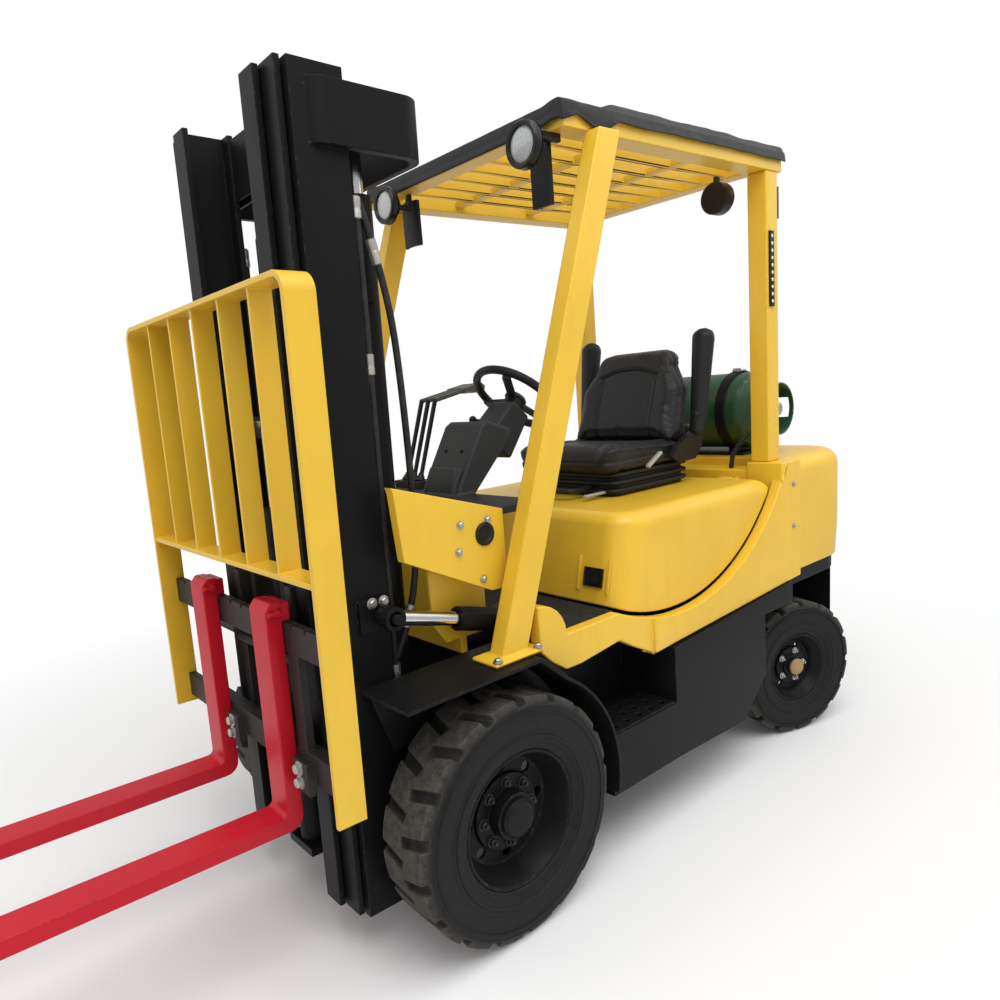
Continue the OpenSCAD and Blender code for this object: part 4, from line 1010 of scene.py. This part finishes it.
class FORKLIFT_OT_seat(ForkliftPiece, bpy.types.Operator):
    """Seat base, cushions and armrests"""

    bl_idname = "forklift.seat"
    bl_label = "Seat"

    def execute(self, context):
        dressed("seat_base", 0.006)
        self.arm_pads()
        self.middle_y = middle("seat_cushion").y
        self.base_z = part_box("seat_cushion")[0].z
        self.stuffed("seat_cushion", self.cushion_form)
        self.piping(self.stuffed("seat_back", self.back_form))
        self.lower_shell()
        self.levers()
        return {"FINISHED"}

    def arm_pads(self):
        """The armrests, swollen above their hinges."""
        pads = dressed("armrests", 0.02).data
        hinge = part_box("armrests")[0].z + 0.09
        outs = [vert.normal.copy() for vert in pads.vertices]
        for vert, out in zip(pads.vertices, outs):
            vert.co += out * 0.01 * unit((vert.co.z - hinge) / 0.06)

    def stuffed(self, node, form):
        """A padded piece: the node's form drawn in, blown up as cloth, then drawn in along its seams."""
        swell = self.sizes.swell
        low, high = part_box(node)
        size, centre = high - low, (low + high) / 2
        bm = merged_copy(node)
        fit = Matrix.Diagonal((*(1 - 1.7 * swell / part for part in size), 1))
        bmesh.ops.transform(bm, matrix=Matrix.Translation(centre) @ fit @ Matrix.Translation(-centre), verts=bm.verts)
        mesh = bpy.data.meshes.new(node)
        bm.to_mesh(mesh)
        bm.free()
        holder = bpy.data.objects.new(node + "_pad", mesh)
        bpy.context.scene.collection.objects.link(holder)
        remesh = holder.modifiers.new("remesh", "REMESH")
        remesh.mode = "VOXEL"
        remesh.voxel_size = 0.0065
        ease = holder.modifiers.new("ease", "SMOOTH")
        ease.factor, ease.iterations = 0.5, 14
        start = self.baked(holder)
        holder.modifiers.clear()
        holder.data = start
        rest = [v.co.copy() for v in start.vertices]
        blown = self.inflated(holder)
        for vert, before, after in zip(start.vertices, rest, blown):
            move = after - before
            vert.co = before + (move if move.length < swell else move * (swell / move.length))
            vert.co.z = max(vert.co.z, low.z + 0.0006)
        smooth = holder.modifiers.new("smooth", "SUBSURF")
        smooth.levels = smooth.render_levels = 1
        fine = self.baked(holder)
        bpy.data.objects.remove(holder)
        for vert, normal in [(v, v.normal.copy()) for v in fine.vertices]:
            vert.co += normal * form(vert.co, normal)
        bm = bmesh.new()
        bm.from_mesh(fine)
        piece = finished(f"{node}_pad", bm, BODY[node], "seat_vinyl", 75.0)
        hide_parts(node)
        return piece

    def baked(self, holder):
        """The mesh that an object's modifiers give."""
        return bpy.data.meshes.new_from_object(holder.evaluated_get(bpy.context.evaluated_depsgraph_get()))

    def inflated(self, holder):
        """Where the points go under a little air pressure."""
        cloth = holder.modifiers.new("cloth", "CLOTH")
        settings = cloth.settings
        settings.quality = 4
        settings.use_pressure = True
        settings.uniform_pressure_force = 4.0
        settings.tension_stiffness = settings.compression_stiffness = 12.0
        settings.bending_stiffness = 0.8
        settings.effector_weights.gravity = 0.0
        cloth.point_cache.frame_start, cloth.point_cache.frame_end = 1, 20
        scene = bpy.context.scene
        for number in range(1, 21):
            scene.frame_set(number)
        moved = self.baked(holder)
        holder.modifiers.clear()
        scene.frame_set(1)
        return [v.co.copy() for v in moved.vertices]

    def dent(self, distance, width=0.006):
        """1 on a seam, falling off to each side."""
        return math.exp(-((distance / width) ** 2))

    def cushion_form(self, at, normal):
        """Seams on the cushion's top and round its side, with raised bolsters."""
        across = abs(at.y - self.middle_y)
        ahead = at.x - AXLE.x
        move = 0.0
        if normal.z > 0.3:
            inside = unit((0.17 - across) / 0.02)
            move -= 0.007 * self.dent(across - 0.155) * unit((-0.8 - ahead) / 0.05)
            move -= 0.006 * self.dent(ahead + 0.9 - 0.5 * across**2) * inside
            move += 0.006 * unit((across - 0.16) / 0.04)
        if normal.z < 0.75:
            move -= 0.005 * self.dent(at.z - self.base_z - 0.042)
        return move

    def arch(self, across):
        """The height of the arched seam."""
        return self.base_z + 0.354 - 1.5 * across**2

    def back_form(self, at, normal):
        """Upright seams, an arch over the middle panel and full bolsters."""
        across = abs(at.y - self.middle_y)
        move = 0.0
        if normal.x > 0.2:
            below = unit((self.arch(across) - at.z) / 0.02)
            move -= 0.008 * self.dent(across - 0.128) * below
            if across < 0.14:
                move -= 0.009 * self.dent(at.z - self.arch(across), 0.007)
            move += 0.007 * unit((across - 0.135) / 0.05)
        elif abs(normal.y) > 0.6:
            move -= 0.004 * self.dent((at.x - AXLE.x + 1.225) + 0.2 * (at.z - self.base_z - 0.2))
        return move

    def piping(self, back):
        """Welting along the back's seams, laid on the padding's surface."""
        bm = bmesh.new()
        face = BVHTree.FromObject(back, bpy.context.evaluated_depsgraph_get())
        widths = [i * 0.008 - 0.128 for i in range(33)]
        lines = [[(y, self.arch(abs(y))) for y in widths]]
        for side in (1, -1):
            heights = [self.base_z + 0.1 + i * 0.01 for i in range(24)]
            lines.append([(side * 0.128, z) for z in heights if z < self.arch(0.128)])
        for line in lines:
            path = []
            for y, z in line:
                hit = face.ray_cast(place(-0.9, self.middle_y + y, z), -X)[0]
                if hit:
                    path.append(hit + X * 0.0006)
            add_sweep(bm, path, 0.0028, 8)
        finished("seat_welting", bm, "hood", "seat_vinyl", 75.0)

    def lower_shell(self):
        """A moulded shell that closes the gap between the cushion and the back."""
        low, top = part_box("seat_back")[0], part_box("seat_cushion")[1].z
        bm = bmesh.new()
        left, right = self.middle_y + 0.225, self.middle_y - 0.225
        add_box(bm, (low.x + 0.012, right, top - 0.07), (low.x + 0.07, left, low.z + 0.07))
        rounded(bm, 0.012, segments=3)
        finished("seat_shell", bm, "hood", "black_plastic")

    def levers(self):
        """Hip wings, seat-tilt and slide levers on the seat's left."""
        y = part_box("seat_cushion")[1].y
        wings = bmesh.new()
        outline = [
            (-1.10, 0.028), (-1.135, 0.066), (-1.2, 0.098), (-1.262, 0.118),
            (-1.288, 0.108), (-1.282, 0.05), (-1.25, 0.004), (-1.15, 0.0),
        ]
        for side in (1, -1):
            edge = self.middle_y + side * (y - self.middle_y)
            near = [place(x, edge - side * 0.006, self.base_z + z) for x, z in outline]
            add_plate(wings, near, [p + Y * side * (0.014 + 0.16 * (p.z - self.base_z)) for p in near])
        rounded(wings, 0.006, segments=3)
        finished("hip_wings", wings, "hood", "black_plastic", 60.0)
        pale = bmesh.new()
        raised = Matrix.Translation(place(-1.0, y + 0.007, self.base_z + 0.03)) @ Matrix.Rotation(0.5, 4, "Y")
        add_box(pale, (-0.045, -0.009, -0.006), (0.045, 0.009, 0.006), raised)
        front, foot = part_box("seat_base")[1].x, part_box("seat_base")[0].z
        add_box(pale, (front - 0.02, y - 0.09, foot + 0.013), (front + 0.1, y - 0.072, foot + 0.023))
        rounded(pale, 0.004, segments=3)
        finished("seat_levers", pale, "hood", "pale_plastic")
        dark = bmesh.new()
        bar = [(-0.01, -0.15, 0.03), (0.08, -0.15, 0.03), (0.1, -0.19, 0.032), (0.1, -0.33, 0.032)]
        corner = Vector((front, y, foot))
        add_sweep(dark, smooth_path([corner + Vector(spot) for spot in bar]), 0.01)
        finished("slide_bar", dark, "hood", "grey_plastic")


class FORKLIFT_OT_controls(ForkliftPiece, bpy.types.Operator):
    """Console, steering wheel and levers"""

    bl_idname = "forklift.controls"
    bl_label = "Controls"

    def execute(self, context):
        dressed("dash_console", 0.009)
        levers = dressed("control_levers", 0.0025).data
        levers.materials.append(FINISH["knob_grey"])
        knobs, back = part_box("control_levers")[1].z - 0.055, AXLE.x - 0.44
        for face in levers.polygons:
            face.material_index = int(face.center.z > knobs and face.center.x < back)
        dressed("steering_wheel", 0.003)
        turn = next(j for j in frame["joints"] if j["name"] == "steering_wheel_turn")
        self.hub_cap(turn)
        self.direction_lever(turn)
        self.screws_and_boots()
        return {"FINISHED"}

    def hub_cap(self, turn):
        """A domed pad over the steering wheel's hub."""
        pad = [
            (0, 0.008), (0.02, 0.0072), (0.034, 0.004), (0.039, -0.002), (0.039, -0.009), (0.034, -0.012), (0, -0.012)
        ]
        matrix = turned_to(turn["axis"], Vector(turn["pos_m"]))
        turned_piece("wheel_pad", "steering_wheel", "grey_plastic", pad, matrix)

    def direction_lever(self, turn):
        """A short lever with a ball end on the column's right."""
        hub, axis = Vector(turn["pos_m"]), Vector(turn["axis"])
        root = hub - axis * 0.1 - Y * 0.05
        tip = root - Y * 0.075 + X * 0.03 + Z * 0.012
        bm = bmesh.new()
        add_rod(bm, root, tip, 0.0055, 0.0045)
        bmesh.ops.create_uvsphere(bm, u_segments=20, v_segments=12, radius=0.0135, matrix=Matrix.Translation(tip))
        finished("direction_lever", bm, "chassis", "black_plastic")

    def screws_and_boots(self):
        """Two screws on the console's face and a ribbed boot under each lever."""
        out = Vector((174, 0, 104)).normalized()
        head = [(0, 0.0008), (0.0022, 0.0012), (0.0026, 0.003), (0.006, 0.0022), (0.007, 0), (0.006, -0.002)]
        bm = bmesh.new()
        for y in (-0.01, 0.07):
            add_lathe(bm, head, turned_to(out, place(-0.3022, y, 1.2795)), 20)
        finished("console_screws", bm, "chassis", "black_paint")
        boots = bmesh.new()
        folds = [(0.019 - i * 0.0022 - (0.003 if i % 2 else 0), 0.004 + i * 0.005) for i in range(6)]
        profile = [(0, -0.001), (0.019, -0.001), *folds, (0.0065, 0.034), (0, 0.034)]
        for y in (-0.29, -0.25, -0.21):
            add_lathe(boots, profile, turned_to((-0.33, 0, 1), place(-0.329, y, 1.172)), 24)
        finished("lever_boots", boots, "chassis", "hose_rubber", 60.0)


class FORKLIFT_OT_tank(ForkliftPiece, bpy.types.Operator):
    """Gas tank, its bracket, valve and hose"""

    bl_idname = "forklift.tank"
    bl_label = "Gas tank"

    def execute(self, context):
        dressed("gas_tank", 0.003)
        dressed("tank_bracket", 0.002)
        low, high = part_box("gas_tank")
        centre = Vector(((low.x + high.x) / 2, 0, (low.z + high.z) / 2))
        radius = (high.z - low.z) / 2
        bead = [(-0.002, -0.005), (0.0012, -0.003), (0.002, 0), (0.0012, 0.003), (-0.002, 0.005)]
        weld = [(radius + out, along) for out, along in bead]
        turned_piece("tank_weld", "chassis", "green_paint", weld, turned_to(Y, centre), 96, 60.0)
        self.valve(centre, high.y)
        self.buckles(centre, radius)
        return {"FINISHED"}

    def valve(self, centre, end):
        """A hand wheel and outlet on the valve, with the hose to the deck."""
        at = Vector((centre.x, end - 0.012, centre.z))
        wheel = [
            (0, -0.006), (0.012, -0.006), (0.02, -0.009), (0.026, -0.004), (0.026, 0.004), (0.02, 0.008), (0, 0.006)
        ]
        turned_piece("valve_wheel", "chassis", "zinc", wheel, turned_to(Y, at), 24)
        start = Vector((centre.x + 0.026, end - 0.045, centre.z))
        run = [(-1.585, 0.375, 1.235), (-1.515, 0.345, 1.2), (-1.478, 0.31, 1.14), (-1.47, 0.3, 1.079)]
        points = [start, start + Vector((0.06, 0.002, -0.004)), *(place(*spot) for spot in run)]
        hose("gas_hose", "chassis", smooth_path(points, 14))

    def buckles(self, centre, radius):
        """A toggle clamp on top of each strap."""
        bm = bmesh.new()
        for y in (-0.19, 0.19):
            top = Vector((centre.x, y, centre.z + radius + 0.009))
            add_box(bm, top + Vector((-0.035, -0.012, -0.004)), top + Vector((0.035, 0.012, 0.004)))
            add_rod(bm, top + Vector((0.02, -0.017, 0.006)), top + Vector((0.02, 0.017, 0.006)), 0.005, 0.005)
        rounded(bm, 0.001)
        finished("strap_clamps", bm, "chassis", "zinc")


class FORKLIFT_OT_running_gear(ForkliftPiece, bpy.types.Operator):
    """Axles, steering links and engine"""

    bl_idname = "forklift.running_gear"
    bl_label = "Running gear"

    def execute(self, context):
        for node in ("drive_axle", "steer_axle", "knuckle_left", "knuckle_right", "engine_block"):
            dressed(node, 0.003)
        dressed("steer_rod", 0.001)
        return {"FINISHED"}


class FORKLIFT_OT_roof_cover(ForkliftPiece, bpy.types.Operator):
    """Vinyl cover draped over the roof and folded down in front"""

    bl_idname = "forklift.roof_cover"
    bl_label = "Roof cover"

    def execute(self, context):
        roof_low, roof_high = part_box("guard_roof")
        self.top, self.front, self.back = roof_high.z, roof_high.x + 0.006, roof_low.x - 0.008
        self.half, self.hang = roof_high.y + 0.004, self.sizes.cover_hang
        self.slats = 2 * (roof_high.y - 0.078) / 8
        bm = bmesh.new()
        window = bm.verts.layers.float.new("window")
        long, wide, border = 92, 39, 0.085
        rows = []
        for i in range(long + 1):
            x = self.back + (self.front - self.back) * i / long
            row = []
            for k in range(-wide, wide + 1):
                y = math.copysign(self.half * (1 - (1 - abs(k) / wide) ** 1.5), k)
                vert = bm.verts.new(self.lying(x, y))
                inset = min(self.half - abs(y), self.front - x, x - self.back)
                vert[window] = 1.0 if inset > border else 0.0
                row.append(vert)
            rows.append(row)
        join_rows(bm, rows)
        self.fold(bm, rows[-1], lambda v: self.hang, X)
        for side, k in ((1, -1), (-1, 0)):
            self.fold(bm, [row[k] for row in rows], lambda v: self.drop(v.co.x), Y * side)
        bmesh.ops.remove_doubles(bm, verts=bm.verts, dist=0.0004)
        area = sum(f.calc_area() for f in bm.faces)
        piece = finished("roof_cover_sheet", bm, "chassis", "cover_vinyl", 60.0)
        wall = piece.modifiers.new("wall", "SOLIDIFY")
        wall.thickness, wall.offset = 0.0024, 1.0
        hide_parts("roof_cover")
        return {"FINISHED"}

    def eased(self, t):
        """A soft step from 0 to 1."""
        t = unit(t)
        return t * t * (3 - 2 * t)

    def lying(self, x, y):
        """A point of the cover on the roof: slack between the slats and bunched along the sides."""
        edge, behind = self.half - abs(y), self.front - x
        inside = self.eased(edge / 0.1) * self.eased(behind / 0.09) * self.eased((x - self.back) / 0.09)
        between = 0.5 - 0.5 * math.cos(2 * math.pi * y / self.slats)
        crease = 0.004 * noise.noise((x * 5, y * 9, 0)) + 0.003 * noise.noise((x * 17, y * 13, 4))
        bunch = 0.006 + 0.016 * self.eased((behind - 0.15) / 0.08) + 0.006 * noise.noise((x * 8, 2, 0))
        roll = bunch * self.eased(edge / 0.014) * (1 - self.eased((edge - 0.03) / 0.05))
        rest = abs(crease) * (0.4 + inside) - inside * (0.003 + 0.006 * between)
        return Vector((x, y, self.top + 0.0012 + roll + rest))

    def drop(self, x):
        """How far the cover hangs at the side: a pointed fold behind the front corner, then a strip."""
        behind = self.front - x
        point = 0.148
        tip = max(0.0, 1 - abs(behind - point) / (point if behind < point else 0.11))
        corner = self.hang * max(0.0, 1 - behind / point)
        strip = 0.03 + 0.005 * noise.noise((x * 7, 5, 1))
        return max(strip, corner, 0.069 * tip**0.8)

    def fold(self, bm, edge, drop, out):
        """Hangs a creased strip from an edge of the cover."""
        steps = 9
        rows = [edge]
        for step in range(1, steps + 1):
            low = step / steps
            row = []
            for vert in edge:
                down = drop(vert) * low
                fan = math.sin(15 * math.atan2(down, self.front - vert.co.x + 0.03))
                crease = 0.5 + 0.3 * noise.noise(vert.co * 15 + Z * low) + 0.2 * fan
                free = self.eased((self.front - vert.co.x + self.half - abs(vert.co.y)) / 0.05)
                row.append(bm.verts.new(vert.co - Z * down + out * free * (0.001 + 0.008 * crease * low)))
            rows.append(row)
        join_rows(bm, rows)


class FORKLIFT_OT_stage(ForkliftPiece, bpy.types.Operator):
    """Pale floor, soft lights and the camera"""

    bl_idname = "forklift.stage"
    bl_label = "Studio"

    def execute(self, context):
        studio = context.scene.forklift_studio
        self.floor()
        self.world(studio)
        self.lights(studio)
        self.camera(studio)
        context.scene.view_settings.view_transform = "Standard"
        return {"FINISHED"}

    def floor(self):
        """A pale floor that fades out, so that the backdrop is white all round."""
        bm = bmesh.new()
        bmesh.ops.create_grid(bm, x_segments=1, y_segments=1, size=30.0)
        mesh = bpy.data.meshes.new("floor")
        bm.to_mesh(mesh)
        bm.free()
        floor = bpy.data.objects.new("floor", mesh)
        bpy.context.scene.collection.objects.link(floor)
        f = Finish("floor_white", Roughness=0.9, Specular_IOR_Level=0.1)
        f.give("Base Color", (0.93, 0.93, 0.93))
        far = (f.along("X") ** 2.0 + f.along("Y") ** 2.0) ** 0.5
        f.give("Alpha", 1 - far.step(2.0, 3.6))
        mesh.materials.append(f.material)

    def world(self, studio):
        """An even white light, and plain white where the camera sees past the floor."""
        world = bpy.data.worlds.new("studio")
        world.use_nodes = True
        tree = world.node_tree
        tree.nodes.clear()
        path, mix, out = (tree.nodes.new(f"ShaderNode{kind}") for kind in ("LightPath", "MixShader", "OutputWorld"))
        tree.links.new(path.outputs["Is Camera Ray"], mix.inputs[0])
        for socket, strength in ((1, studio.sky), (2, 1.0)):
            light = tree.nodes.new("ShaderNodeBackground")
            light.inputs["Color"].default_value = (1, 1, 1, 1)
            light.inputs["Strength"].default_value = strength
            tree.links.new(light.outputs[0], mix.inputs[socket])
        tree.links.new(mix.outputs[0], out.inputs[0])
        bpy.context.scene.world = world

    def lights(self, studio):
        """Large soft lights aimed at the truck's middle."""
        for name, power, size, at in (
            ("key", studio.key, 4.0, place(0.4, 2.4, 5.5)),
            ("fill", studio.fill, 5.0, place(3.4, -2.6, 3.0)),
            ("back", studio.fill, 4.0, place(-4.0, 2.0, 4.0)),
        ):
            lamp = bpy.data.lights.new(name, "AREA")
            lamp.energy = power
            lamp.size = size
            holder = bpy.data.objects.new(name, lamp)
            aim = place(-0.6, 0, 0.9) - at
            holder.matrix_world = Matrix.Translation(at) @ aim.to_track_quat("-Z", "Y").to_matrix().to_4x4()
            bpy.context.scene.collection.objects.link(holder)

    def camera(self, studio):
        """The camera that was fitted to the photo."""
        data = bpy.data.cameras.new("camera")
        data.lens = studio.lens
        data.sensor_width = 36.0
        data.sensor_fit = "HORIZONTAL"
        data.shift_x, data.shift_y = 0.0263, 0.0338
        data.clip_end = 200.0
        yaw, pitch, roll = studio.heading
        ahead = Vector((math.cos(yaw) * math.cos(pitch), math.sin(yaw) * math.cos(pitch), math.sin(pitch)))
        right = ahead.cross(Z).normalized()
        up = right.cross(ahead)
        level = Matrix((right, up, -ahead)).transposed().to_4x4()
        camera = bpy.data.objects.new("camera", data)
        camera.matrix_world = Matrix.Translation(place(*studio.eye)) @ level @ Matrix.Rotation(roll, 4, "Z")
        bpy.context.scene.collection.objects.link(camera)
        bpy.context.scene.camera = camera


PIECES = (
    FORKLIFT_OT_finishes,
    FORKLIFT_OT_body,
    FORKLIFT_OT_mast,
    FORKLIFT_OT_carriage,
    FORKLIFT_OT_wheels,
    FORKLIFT_OT_guard,
    FORKLIFT_OT_seat,
    FORKLIFT_OT_controls,
    FORKLIFT_OT_tank,
    FORKLIFT_OT_running_gear,
    FORKLIFT_OT_roof_cover,
    FORKLIFT_OT_stage,
)


class FORKLIFT_PT_sidebar(bpy.types.Panel):
    """Lists the forklift's pieces and values"""

    bl_label = "Forklift"
    bl_idname = "FORKLIFT_PT_sidebar"
    bl_space_type = "VIEW_3D"
    bl_region_type = "UI"
    bl_category = "Forklift"

    def draw(self, context):
        scene = context.scene
        for group in (scene.forklift_look, scene.forklift_sizes, scene.forklift_studio):
            for name in group.__annotations__:
                self.layout.prop(group, name)
        for piece in PIECES:
            self.layout.operator(piece.bl_idname)


GROUPS = {"forklift_look": ForkliftLook, "forklift_sizes": ForkliftSizes, "forklift_studio": ForkliftStudio}
CLASSES = (*GROUPS.values(), *PIECES, FORKLIFT_PT_sidebar)


def register():
    for kind in CLASSES:
        bpy.utils.register_class(kind)
    for name, group in GROUPS.items():
        setattr(bpy.types.Scene, name, bpy.props.PointerProperty(type=group))


def unregister():
    for name in GROUPS:
        delattr(bpy.types.Scene, name)
    for kind in reversed(CLASSES):
        bpy.utils.unregister_class(kind)


def main():
    register()
    for piece in PIECES:
        kind, name = piece.bl_idname.split(".")
        getattr(getattr(bpy.ops, kind), name)()


if __name__ == "__main__":
    main()
